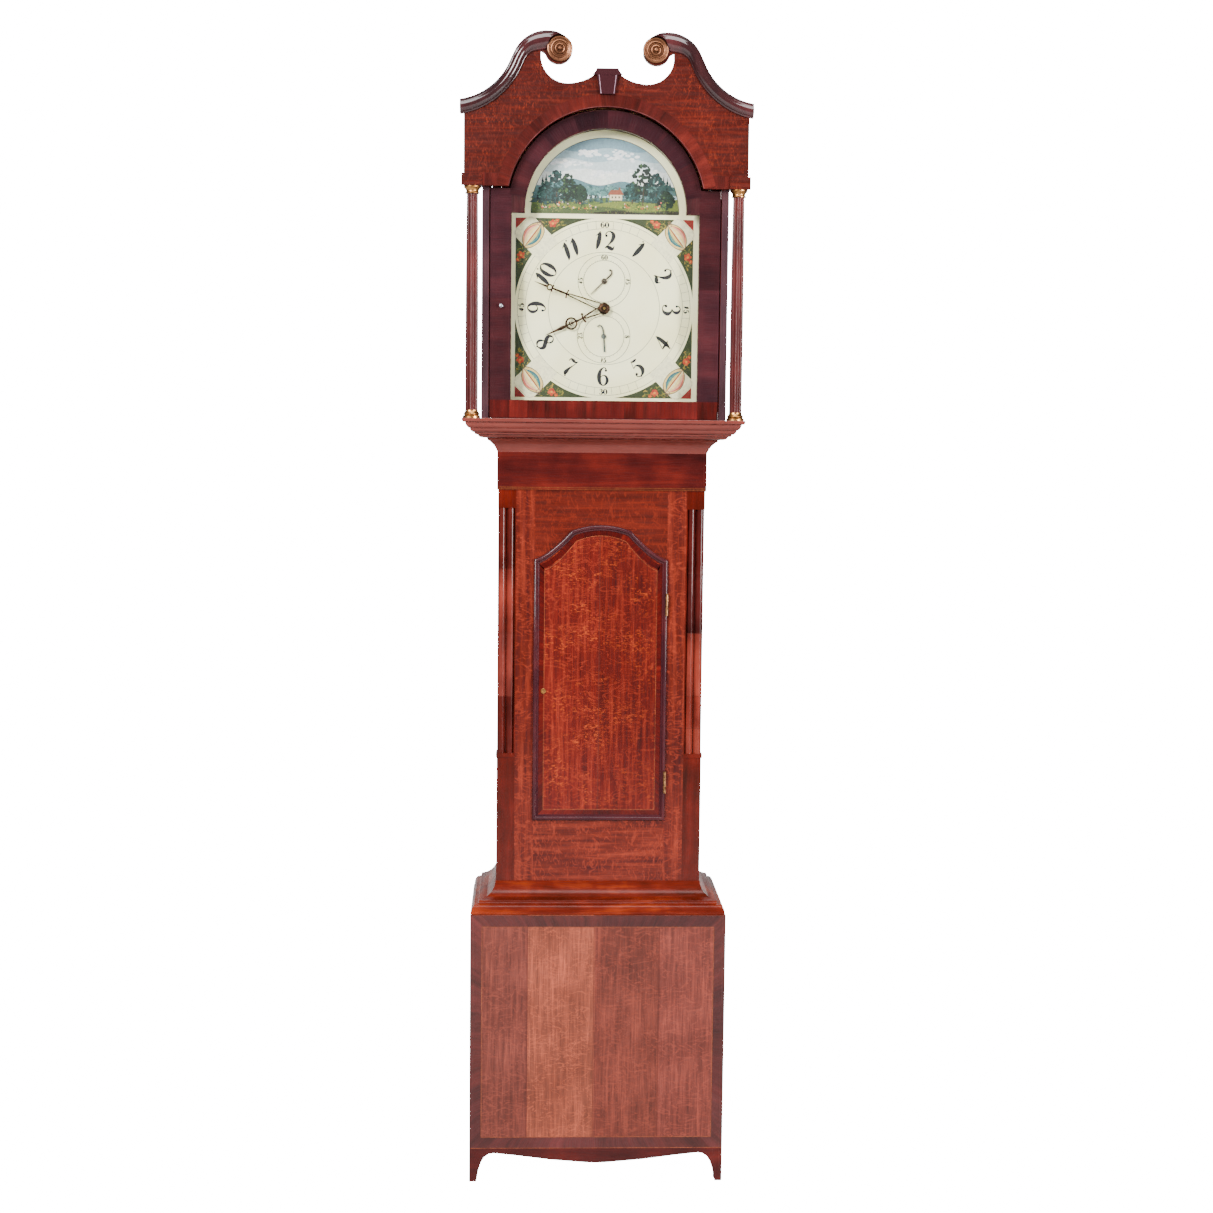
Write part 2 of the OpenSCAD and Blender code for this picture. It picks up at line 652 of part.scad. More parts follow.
module hour_hand() color(brassC) translate([0, 0, dialZ]) rotate([0, 244.8, 0]) {
  difference() {
    rodY(0, 0, 10.5, yDial - 8, yDial - 6.2);
    rodY(0, 0, 5 + arbor_fit, yDial - 9, yDial - 6);
  }
  face(yDial - 8, yDial - 6.6) {
    for (s = [-1, 1]) polygon([[s * 4.4, 9], [s * 5.8, 9.6], [s * 2, 52], [s * 0.6, 52]]);
    polygon([[-2, 50], [2, 50], [1.6, 54], [-1.6, 54]]);
    translate([0, 42]) square([13, 2.2], center = true);
    difference() {
      translate([0, 64]) circle(r = 11.5);
      translate([0, 64]) circle(r = 8.6);
      translate([0, 53]) square([5, 4], center = true);
    }
    polygon([[-2, 75], [2, 75], [2.6, 88], [1.2, 94], [0, hour_len], [-1.2, 94], [-2.6, 88]]);
    polygon([[-1.3, 50], [1.3, 50], [1, 66], [-1, 66]]);
  }
}

module hour_wheel() color(brassC) difference() {
  union() {
    wheel(0, dialZ, 72, motionD / 39, frameF - 11, frameF - 9, 7, 0);
    rodY(0, dialZ, 5, yDial - 8.6, frameF - 8);
  }
  rodY(0, dialZ, 3 + arbor_fit, yDial - 9, frameF - 7);
}

module minute_wheel() color(brassC) difference() {
  union() {
    wheel(0, dialZ - motionD, 36, motionD / 36, frameF - 5, frameF - 3, 5, 0);
    pinion(0, dialZ - motionD, 6, motionD / 39, frameF - 12, frameF - 4.9, 0);
  }
  rodY(0, dialZ - motionD, 1 + arbor_fit, frameF - 13, frameF - 2);
}

module date_hand() color(steelC) translate([0, 0, dialZ - 49]) {
  rodY(0, 0, 1.5, yDial - 3.4, yDial + 6);
  rodY(0, 0, 11, yDial + 4, yDial + 5.6);
  rotate([0, 176, 0]) {
    rodY(0, 0, 4.8, yDial - 3.4, yDial - 2);
    face(yDial - 3.4, yDial - 2.4) {
      polygon([[-1.4, 4], [1.4, 4], [1.4, 28], [-1.4, 28]]);
      polygon([[-1.2, -4], [1.2, -4], [-1, -14], [-5.5, -19], [-6.5, -18], [-3, -13]]);
    }
  }
}

// ---- striking side

module strike_wheel() color(brassC) {
  wheel(0, zGreat, 60, 1, 38, 40.5, 9, 0);
  rodY(0, zGreat, 2, 6.2, frameB - 0.3);
  rodY(0, zGreat, ropeX - rope_d / 2 - 0.3, yStrike - 5, yStrike + 5);
  for (y = [yStrike - 5, yStrike + 3.5]) rodY(0, zGreat, ropeX + 3, y, y + 1.5);
  rodY(0, zGreat, 8, yStrike + 4, 38.1);
  // pins that lift the hammer
  for (i = [0:7]) rodY(28.2 * cos(i * 45), zGreat + 28.2 * sin(i * 45), 1.2, 34, 38.1);
}

module hammer() color(steelC) {
  rodZ(44, 30, 2.5, seatZ + 3.2, topZ + 18);
  block(41.5, 44, 28.5, 31.5, topZ + 14, topZ + 17);
  translate([44, 30, topZ + 15.5]) rotate([90, 0, 0]) translate([0, 0, 1]) cylinder(r = 1.6, h = 14);
  translate([50.5, 15.5, topZ + 20]) rotate([0, 90, 0]) translate([0, 0, -6]) cylinder(r = 5, h = 14);
  block(42.4, 46, 13.5, 17, topZ + 13.9, topZ + 17);
}

// ---- weight and rope

module weight() color(leadC) {
  rodZ(-ropeX, yLoop, weight_d / 2, pulleyZ - 230, pulleyZ - 50);
  rodZ(-ropeX, yLoop, 2.2, pulleyZ - 51, pulleyZ - 36);
  // fork that holds the pulley
  block(-ropeX - 7.6, -ropeX + 7.6, yLoop - 6, yLoop + 6, pulleyZ - 37, pulleyZ - 32);
  for (s = [-1, 1]) block(-ropeX + s * 6.6 - 1, -ropeX + s * 6.6 + 1, yLoop - 6, yLoop + 6,
    pulleyZ - 36, pulleyZ + 6);
  translate([-ropeX - 7.6, yLoop, pulleyZ]) rotate([0, 90, 0]) cylinder(r = 2, h = 15.2);
}

module weight_pulley() color(brassC) translate([-ropeX, yLoop, pulleyZ]) rotate([0, 90, 0])
  rotate_extrude() polygon([[2.05, -5], [loopR + 2, -5], [loopR + 2, -3.6],
    [loopR - rope_d / 2 - 0.4, -2.2], [loopR - rope_d / 2 - 0.4, 2.2], [loopR + 2, 3.6],
    [loopR + 2, 5], [2.05, 5]]);

module ring_weight() color(leadC) translate([ropeX, yLoop, ringZ]) rotate([90, 0, 0])
  rotate_extrude() translate([11.5, 0]) circle(r = ringR, $fn = 32);

// running strands over both pulleys
module rope_top() color(ropeC) for (y = [yGoing, yStrike]) translate([0, y, zGreat]) {
  rotate([90, 0, 0]) rotate_extrude(angle = 180) translate([ropeX, 0]) circle(r = rope_d / 2, $fn = 24);
}

// straight falls of the rope
module weight_rope() color(ropeC) {
  for (y = [yGoing, yStrike]) rodZ(-ropeX, y, rope_d / 2, pulleyZ, zGreat - 0.3);
}

// the other two falls run down to the ring and pass on either side of it
module ring_rope() color(ropeC) {
  low = ringZ + 11.5;
  for (s = [-1, 1]) {
    lean = atan((loopR - ringR - rope_d / 2 - 0.3) / (zGreat - low));
    translate([ropeX, yLoop + s * loopR, zGreat - 0.4]) rotate([180 - s * lean, 0, 0])
      cylinder(r = rope_d / 2, h = (zGreat - low) / cos(lean));
  }
}

// ---- drawing

backboard();
base_side_left();
base_side_right();
base_front();
front_apron();
waist_moulding();
trunk_side_left();
trunk_side_right();
trunk_stiles();
trunk_top_rail();
trunk_bottom_rail();
trunk_frieze();
corner_post_left();
corner_post_right();
quarter_column_left();
quarter_column_right();
trunk_cove();
seatboard();
dial_plate();
movement_frame();
train_bars();
bell();
hood_side_left();
hood_side_right();
hood_top();
hood_base_frame();
arch_front();
swan_neck_left();
swan_neck_right();
rosettes();
keystone();
hood_column_left();
hood_column_right();
column_brasses();
hood_door_frame();
hood_door_glass();
trunk_door_panel();
trunk_door_moulding();
trunk_hinges();
great_wheel();
centre_wheel();
third_wheel();
escape_wheel();
seconds_hand();
anchor();
pendulum_rod();
pendulum_bob();
minute_hand();
minute_wheel();
hour_wheel();
hour_hand();
date_hand();
strike_wheel();
hammer();
weight();
weight_pulley();
ring_weight();
rope_top();
weight_rope();
ring_rope();
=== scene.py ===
# Longcase clock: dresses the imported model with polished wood, brass, dial paint and small fittings.
# Lengths are written in millimetres in the drawing's own frame and turned to metres by mm().
import math
import bmesh
import bpy
import numpy as np
from mathutils import Matrix, Vector


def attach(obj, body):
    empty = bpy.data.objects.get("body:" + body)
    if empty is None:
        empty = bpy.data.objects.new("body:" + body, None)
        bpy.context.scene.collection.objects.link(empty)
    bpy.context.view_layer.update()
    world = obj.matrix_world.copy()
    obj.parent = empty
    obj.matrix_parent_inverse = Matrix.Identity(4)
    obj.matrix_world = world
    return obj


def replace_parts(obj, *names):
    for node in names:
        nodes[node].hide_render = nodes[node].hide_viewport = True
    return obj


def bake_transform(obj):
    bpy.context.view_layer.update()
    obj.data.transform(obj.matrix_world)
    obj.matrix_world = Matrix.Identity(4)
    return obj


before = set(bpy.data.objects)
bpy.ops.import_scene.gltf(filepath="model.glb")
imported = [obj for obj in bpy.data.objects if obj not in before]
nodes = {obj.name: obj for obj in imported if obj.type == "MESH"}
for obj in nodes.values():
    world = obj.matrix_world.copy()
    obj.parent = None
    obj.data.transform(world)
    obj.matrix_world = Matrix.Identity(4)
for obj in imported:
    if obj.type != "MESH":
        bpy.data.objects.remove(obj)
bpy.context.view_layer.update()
print("stage: frame loaded,", len(nodes), "nodes")

# planes and centres that the drawing and the scene share, in mm
plan = {"board": -119, "door": -106, "trunk": -61, "base": -110, "dial": -66, "dialZ": 1585,
        "archZ": 1755}
sides = ((-1, "Left"), (1, "Right"))


# millimetres to metres
def mm(values):
    return np.asarray(values, dtype=float) / 1000.0


def floats(values):
    return np.asarray(values, dtype=float)


# sRGB hex code to linear red, green, blue and 1
def hexColour(code):
    parts = [int(code[i:i + 2], 16) / 255 for i in (1, 3, 5)]
    return [c / 12.92 if c <= 0.04045 else ((c + 0.055) / 1.055) ** 2.4 for c in parts] + [1.0]


# a new object in the scene, its data already made
def addObject(name, data):
    thing = bpy.data.objects.new(name, data)
    bpy.context.scene.collection.objects.link(thing)
    return thing


# a mesh piece from arrays of points (mm) and faces, riding on a body
def makePiece(name, points, faces, material, body, slot, uv=None, tint=None, smooth=True):
    mesh = bpy.data.meshes.new(name)
    mesh.from_pydata(mm(points).tolist(), [], [list(map(int, f)) for f in faces])
    loops = np.zeros(len(mesh.loops), dtype=np.int32)
    mesh.loops.foreach_get("vertex_index", loops)
    if uv is not None:
        layer = mesh.uv_layers.new(name="grain")
        layer.data.foreach_set("uv", np.asarray(uv, dtype=np.float32)[loops].ravel())
    if tint is not None:
        layer = mesh.color_attributes.new("tint", "FLOAT_COLOR", "POINT")
        layer.data.foreach_set("color", np.asarray(tint, dtype=np.float32).ravel())
    mesh.polygons.foreach_set("use_smooth", [smooth] * len(mesh.polygons))
    mesh.update()
    mesh.materials.append(material)
    piece = addObject(name, mesh)
    if body:
        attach(piece, body)
    return piece


# quads between the rows of a grid of points; either way round can close on itself
def gridFaces(rows, cols, closeRows=False, closeCols=False):
    r, c = np.meshgrid(np.arange(rows if closeRows else rows - 1),
                       np.arange(cols if closeCols else cols - 1), indexing="ij")
    r2, c2 = (r + 1) % rows, (c + 1) % cols
    quads = np.stack([r * cols + c, r * cols + c2, r2 * cols + c2, r2 * cols + c], -1)
    return quads.reshape(-1, 4).tolist()


# faces of a tube whose rows are rings of points, with a flat cap at each end
def tubeFaces(rows, ring):
    return gridFaces(rows, ring, closeCols=True) + [
        list(range(ring))[::-1], list(range((rows - 1) * ring, rows * ring))]


# several meshes, each (points, faces), as one
def joined(meshes):
    starts = np.cumsum([0] + [len(points) for points, faces in meshes])
    return np.concatenate([points for points, faces in meshes]), [
        [i + start for i in face] for (points, faces), start in zip(meshes, starts)
        for face in faces]


# points of the XZ plane laid at a depth y
def atDepth(xz, y):
    return np.stack([xz[..., 0], np.broadcast_to(y, xz.shape[:-1]), xz[..., 1]], -1).reshape(-1, 3)


# turns the faces outwards and rounds shading only under the given angle
def tidyNormals(piece, angle=40):
    work = bmesh.new()
    work.from_mesh(piece.data)
    bmesh.ops.remove_doubles(work, verts=work.verts, dist=1e-7)
    bmesh.ops.recalc_face_normals(work, faces=work.faces)
    for edge in work.edges:
        sharp = len(edge.link_faces) == 2 and edge.calc_face_angle(0) > math.radians(angle)
        edge.smooth = not sharp
    work.to_mesh(piece.data)
    work.free()
    return piece


# points of an arc in the XZ plane, degrees
def arcPoints(cx, cz, r, a0, a1, count):
    a = np.radians(np.linspace(a0, a1, count))
    return np.stack([cx + r * np.cos(a), cz + r * np.sin(a)], -1)


# distance along a path at each of its points
def lengths(path):
    return np.concatenate([[0], np.cumsum(np.hypot(*np.diff(path, axis=0).T))])


# the same path with evenly spaced points
def resample(path, count):
    path = floats(path)
    s = lengths(path)
    keep = np.concatenate([[True], np.diff(s) > 1e-9])
    return np.stack([np.interp(np.linspace(0, s[-1], count), s[keep], path[keep, k])
                     for k in range(2)], -1)


# mitre vectors of a path in the plane: the left hand normal, stretched at corners
def mitres(path, closed):
    path = floats(path)
    ahead = np.roll(path, -1, 0) - path
    if not closed:
        ahead[-1] = ahead[-2]
    unit = ahead / np.hypot(*ahead.T)[:, None]
    normal = np.stack([-unit[:, 1], unit[:, 0]], -1)
    before = np.roll(normal, 1, 0)
    if not closed:
        before[0] = normal[0]
    return (normal + before) / (1 + np.sum(normal * before, 1))[:, None]


# flat ribbon along a path, its points in XZ and its quads; mitres are held to 1.6 of its width
def ribbon(path, widths, closed=False):
    path = floats(path)
    m = mitres(path, closed)
    size = np.hypot(*m.T)[:, None]
    half = m / np.maximum(size, 1e-9) * np.clip(size, 0, 1.6) * (
        np.broadcast_to(floats(widths), (len(path),))[:, None]) / 2
    return (np.stack([path + half, path - half], 1).reshape(-1, 2),
            gridFaces(len(path), 2, closeRows=closed))


# map of a moulding, u round its profile and v along it with the grain
def mouldingMap(profile, along):
    return mm(np.stack(np.broadcast_arrays(lengths(profile)[None, :], along[:, None]),
                       -1).reshape(-1, 2))


# a moulding: profile points (across, out) carried round a closed path in XZ with mitred corners;
# point = path + across * mitre, at depth plane - out
def moulding(name, path, profile, plane, material, body, slot, angle=35):
    path, profile = floats(path), floats(profile)
    points = atDepth(path[:, None] + profile[:, :1] * mitres(path, True)[:, None],
                     plane - profile[:, 1])
    faces = gridFaces(len(path), len(profile), closeRows=True, closeCols=True)
    return tidyNormals(makePiece(name, points, faces, material, body, slot,
                                 uv=mouldingMap(profile, lengths(path))), angle)


# smooth curve through control points, by cubic interpolation along the chord
def curveThrough(points, count, closed=False):
    p = floats(points)
    ends = (p[-1:], p[:2]) if closed else (2 * p[:1] - p[1:2], 2 * p[-1:] - p[-2:-1])
    p = np.vstack([ends[0], p, ends[1]])
    t = np.linspace(0, len(p) - 3 - 1e-9, count)
    i = np.floor(t).astype(int)
    f = (t - i)[:, None]
    a, b, c, d = p[i], p[i + 1], p[i + 2], p[i + 3]
    return 0.5 * (2 * b + (c - a) * f + (2 * a - 5 * b + 4 * c - d) * f ** 2
                  + (3 * b - a - 3 * c + d) * f ** 3)


# profile made of straight lists of points and of (control points, count) that are smoothed
def joinProfile(*parts):
    return np.vstack([curveThrough(*part) if isinstance(part, tuple) else part for part in parts])


# turned form round a line along "axis" through centre; profile points are (radius, along)
def lathe(name, profile, centre, axis, material, body, slot, steps=48):
    profile = floats(profile)
    a = np.linspace(0, 2 * math.pi, steps, endpoint=False)
    r = np.maximum(profile[:, :1], 1e-4)
    u, v, w = r * np.cos(a), r * np.sin(a), np.broadcast_to(profile[:, 1:], (len(profile), steps))
    points = np.stack((u, v, w) if axis == "z" else (u, -w, v), -1).reshape(-1, 3)
    return tidyNormals(makePiece(name, points + floats(centre), tubeFaces(len(profile), steps),
                                 material, body, slot))


# the nodes of one material: a value that is a socket is linked, hex text becomes a colour
class Look:
    def __init__(self, name, **sockets):
        self.material = bpy.data.materials.new(name)
        self.material.use_nodes = True
        self.tree = self.material.node_tree
        self.shader = self.tree.nodes["Principled BSDF"]
        self.put(**sockets)
        self.place = self.add("TexCoord").outputs["Object"]

    def fill(self, socket, value):
        if isinstance(value, bpy.types.NodeSocket):
            self.tree.links.new(value, socket)
        else:
            socket.default_value = hexColour(value) if isinstance(value, str) else value

    # fills the shader's own sockets, written with _ for each space
    def put(self, **sockets):
        for key, value in sockets.items():
            self.fill(self.shader.inputs[key.replace("_", " ")], value)

    def add(self, kind, inputs=None, **settings):
        node = self.tree.nodes.new("ShaderNode" + kind)
        for key, value in settings.items():
            setattr(node, key, value)
        for key, value in (inputs or {}).items():
            self.fill(node.inputs[key], value)
        return node

    def stretch(self, vector, scale=(1, 1, 1), turn=(0, 0, 0), shift=(0, 0, 0)):
        turned = [math.radians(a) for a in turn]
        return self.add("Mapping", {"Vector": vector, "Scale": scale, "Rotation": turned,
                                    "Location": shift}).outputs[0]

    def noise(self, vector, scale, detail, rough=0.5, distortion=0.0):
        return self.add("TexNoise", {"Vector": vector, "Scale": scale, "Detail": detail,
                                     "Roughness": rough, "Distortion": distortion}).outputs[0]

    # carries the range from low to high over to the range from start to end
    def remap(self, value, low=0.0, high=1.0, start=0.0, end=1.0):
        return self.add("MapRange", {"Value": value, "From Min": low, "From Max": high,
                                     "To Min": start, "To Max": end}).outputs[0]

    def sum(self, operation, a, b=0.5, clamp=False):
        return self.add("Math", {0: a, 1: b}, operation=operation, use_clamp=clamp).outputs[0]

    def ramp(self, value, stops, steps=False):
        node = self.add("ValToRGB", {"Fac": value})
        ramp = node.color_ramp
        while len(ramp.elements) < len(stops):
            ramp.elements.new(0.5)
        for element, (place, colour) in zip(ramp.elements, stops):
            element.position = place
            element.color = hexColour(colour) if isinstance(colour, str) else [colour] * 3 + [1]
        if steps:
            ramp.interpolation = "CONSTANT"
        return node.outputs[0]

    # lays one colour over another by a mask times an amount
    def mix(self, mask, under, over, amount=1.0, blend="MIX"):
        node = self.add("Mix", data_type="RGBA", blend_type=blend)
        self.fill(node.inputs["Factor"],
                  mask if amount == 1 else self.sum("MULTIPLY", mask, amount, True))
        for socket, value in zip([s for s in node.inputs if s.type == "RGBA"], (under, over)):
            self.fill(socket, value)
        return [s for s in node.outputs if s.type == "RGBA"][0]

    def multiply(self, under, over):
        return self.mix(1.0, under, over, blend="MULTIPLY")

    # bumps of the surface, "depth" metres high
    def bump(self, height, strength, depth):
        self.put(Normal=self.add("Bump", {"Height": height, "Strength": strength,
                                          "Distance": depth}).outputs[0])

    # separate boards glued side by side: a tint for each and a dark hairline at each joint
    def boards(self, place, colour, boards):
        across = self.add("SeparateXYZ", {"Vector": place}).outputs[boards["axis"]]
        low, high = boards["span"]
        stops = [((x - low) / (high - low), tint) for x, tint in boards["tints"]]
        colour = self.multiply(colour, self.ramp(self.remap(across, low / 1000, high / 1000),
                                                 stops, True))
        for x, tint in boards["tints"][1:]:
            near = self.sum("ABSOLUTE", self.sum("SUBTRACT", across, x / 1000))
            colour = self.mix(self.remap(near, 0.0003, 0.0012, 0.75, 0.0), colour, "#2A0E0A")
        return colour


# Polished oak, quarter sawn: long open pores, silver ray flecks across the grain and slow
# changes of tone; shellac rubbed up to a gloss gives it soft wide highlights.
def polishedOak(name, dark, mid, light, along="z", shift=(0, 0, 0), fleck=0.55, boards=None,
                tone=0.5, ray=None, lines=0.6, streak=110.0):
    look = Look(name, IOR=1.5, Specular_IOR_Level=0.05, Coat_Weight=0.1, Coat_Roughness=0.07)
    grain = look.stretch(look.place, turn=(0, 90 if along == "x" else 0, 0), shift=shift)
    # pores 1.2 mm apart and 40 times as long
    pores = look.noise(look.stretch(grain, (1, 1, 0.025)), 820.0, 3.0, 0.6)
    streaks = look.noise(look.stretch(grain, (1, 1, 0.06)), streak, 4.0, 0.62, 0.3)
    mottle = look.noise(grain, 9.0, 3.0, 0.55)
    # ray flecks 3 mm high and 8 mm wide, wandering across the grain in patches
    rays = look.stretch(grain, (0.42, 0.42, 1.0), (0, 16, 0))
    flecks = look.remap(look.noise(rays, 230.0, 2.5, 0.5, 1.6), 0.55, 0.66)
    patches = look.remap(look.noise(grain, 22.0, 2.0), 0.42, 0.62)
    some = look.sum("MULTIPLY", look.sum("MULTIPLY", flecks, patches), fleck)
    # rays that run on as thin wandering lines: where a slow noise crosses its middle value
    contour = look.noise(rays, 62.0, 2.2, 0.6, 0.9)
    near = look.sum("ABSOLUTE", look.sum("SUBTRACT", contour, 0.5))
    thin = look.remap(near, 0.004, 0.026, lines, 0.0)
    base = look.ramp(streaks, [(0.24, dark), (0.5, mid), (0.8, light)])
    toned = look.multiply(base, look.remap(mottle, 0.3, 0.7, 1 - tone * 0.5, 1 + tone * 0.35))
    colour = look.mix(look.remap(pores, 0.40, 0.5, 1.0, 0.0), toned, dark, 0.55)
    colour = look.mix(thin, colour, light, 0.8)
    colour = look.mix(some, colour, ray or light, 0.85)
    if boards:
        colour = look.boards(look.place, colour, boards)
    look.put(Base_Color=colour, Roughness=look.remap(pores, 0.35, 0.65, 0.44, 0.28))
    look.bump(pores, 0.25, 0.0004)
    return look.material


# Polished mahogany: fine straight pores and a ribbon figure that shifts from near black to
# wine red; built up shellac makes it darker and glossier than the oak.
def polishedMahogany(name, dark, mid, light, along="z", veneer=False, gloss=0.22, ribbon=38.0,
                     useTint=False, boards=None, poreDepth=0.2, coat=0.1):
    look = Look(name, IOR=1.5, Specular_IOR_Level=0.05, Coat_Weight=coat, Coat_Roughness=0.06)
    place = look.place
    if veneer:
        # v of the piece's own map runs with the grain
        place = look.stretch(look.place.node.outputs["UV"], turn=(90, 0, 0))
    grain = look.stretch(place, turn=(0, 90 if along == "x" else 0, 0))
    pores = look.noise(look.stretch(grain, (1, 1, 0.04)), 900.0, 2.0)
    figure = look.noise(look.stretch(grain, (1, 1, 0.1)), ribbon, 5.0, 0.65, 0.6)
    total = look.sum("ADD", figure, look.noise(grain, 14.0, 3.0))
    colour = look.ramp(look.sum("MULTIPLY", total, 0.5), [(0.36, dark), (0.5, mid), (0.66, light)])
    colour = look.mix(look.remap(pores, 0.38, 0.5, 1.0, 0.0), colour, dark, poreDepth)
    if useTint:
        # each block of veneer has its own tone
        colour = look.multiply(colour, look.add("Attribute", attribute_name="tint").outputs[0])
    if boards:
        colour = look.boards(place, colour, boards)
    look.put(Base_Color=colour, Roughness=look.remap(pores, 0.35, 0.65, gloss + 0.1, gloss - 0.02))
    look.bump(pores, 0.12, 0.0003)
    return look.material


# Bare pine of the back and inside boards: pale, dusty, with wide soft grain and no polish.
def agedPine(name):
    look = Look(name, Roughness=0.75)
    figure = look.noise(look.stretch(look.place, (1, 1, 0.05)), 60.0, 4.0, distortion=0.8)
    colour = look.ramp(figure, [(0.35, "#7A5430"), (0.55, "#A47B4B"), (0.7, "#B8935F")])
    grime = look.remap(look.noise(look.place, 7.0, 4.0), 0.45, 0.7)
    look.put(Base_Color=look.mix(grime, colour, "#5B4330", 0.5))
    look.bump(figure, 0.3, 0.0005)
    return look.material


# Lacquered or tarnished metal: turned or filed, with cloudy tarnish that dulls it in patches.
def agedMetal(name, bright, dull, rough=0.25, scale=60.0, metal=1.0, bump=0.1):
    look = Look(name, Metallic=metal)
    cloud = look.noise(look.place, scale, 5.0, 0.6)
    colour = look.ramp(look.remap(cloud, 0.38, 0.66), [(0.1, bright), (0.9, dull)])
    look.put(Base_Color=colour, Roughness=look.remap(cloud, 0.3, 0.7, rough, rough + 0.2))
    look.bump(look.noise(look.place, 900.0, 2.0), bump, 0.0002)
    return look.material


# Oil paint on iron, flatted and varnished: slightly yellowed, with faint clouds of wear.
def dialEnamel(name, pale, warm):
    look = Look(name, IOR=1.5, Coat_Weight=0.4, Coat_Roughness=0.1)
    cloud = look.noise(look.place, 12.0, 4.0)
    colour = look.ramp(look.remap(cloud, 0.35, 0.7), [(0.2, pale), (1.0, warm)])
    specks = look.noise(look.place, 420.0, 3.0)
    look.put(Base_Color=look.mix(look.remap(specks, 0.68, 0.8), colour, "#C9B994", 0.5),
             Roughness=look.remap(cloud, start=0.25, end=0.42))
    look.bump(specks, 0.05, 0.0002)
    return look.material


# Hand laid dial paint: each daub carries its own colour, broken up by brush grain.
def brushPaint(name, grainScale=260.0, contrast=0.3):
    look = Look(name, IOR=1.5, Coat_Weight=0.25, Coat_Roughness=0.15)
    brush = look.noise(look.place, grainScale, 4.0, 0.6, 0.5)
    shade = look.ramp(brush, [(0.3, 1 - contrast), (0.7, 1.0)])
    tint = look.add("Attribute", attribute_name="tint").outputs[0]
    look.put(Base_Color=look.multiply(tint, shade),
             Roughness=look.remap(brush, start=0.34, end=0.52))
    return look.material


# Old crown glass: nearly clear, with a faint ripple that bends its reflections.
def crownGlass(name):
    look = Look(name, Base_Color="#1B211D", Roughness=0.02, IOR=1.5)
    facing = look.add("Fresnel", {"IOR": 1.5}).outputs[0]
    look.put(Alpha=look.remap(facing, end=0.9))
    look.bump(look.noise(look.place, 9.0, 2.0), 0.15, 0.002)
    return look.material


# Laid hemp cord: three strands, the twist 9 mm long, fuzzy and matt.
def laidCord(name):
    look = Look(name, Roughness=0.85, Sheen_Weight=0.3)
    twist = look.add("Mapping", {"Vector": look.place, "Rotation": (0.6, 0.5, 0)}).outputs[0]
    wave = look.add("TexWave", {"Vector": twist, "Scale": 190.0, "Distortion": 1.0}).outputs[0]
    look.put(Base_Color=look.ramp(wave, [(0.1, "#6E5B3A"), (0.6, "#B29B6C"), (1.0, "#CBB78B")]))
    look.bump(wave, 0.6, 0.0008)
    return look.material


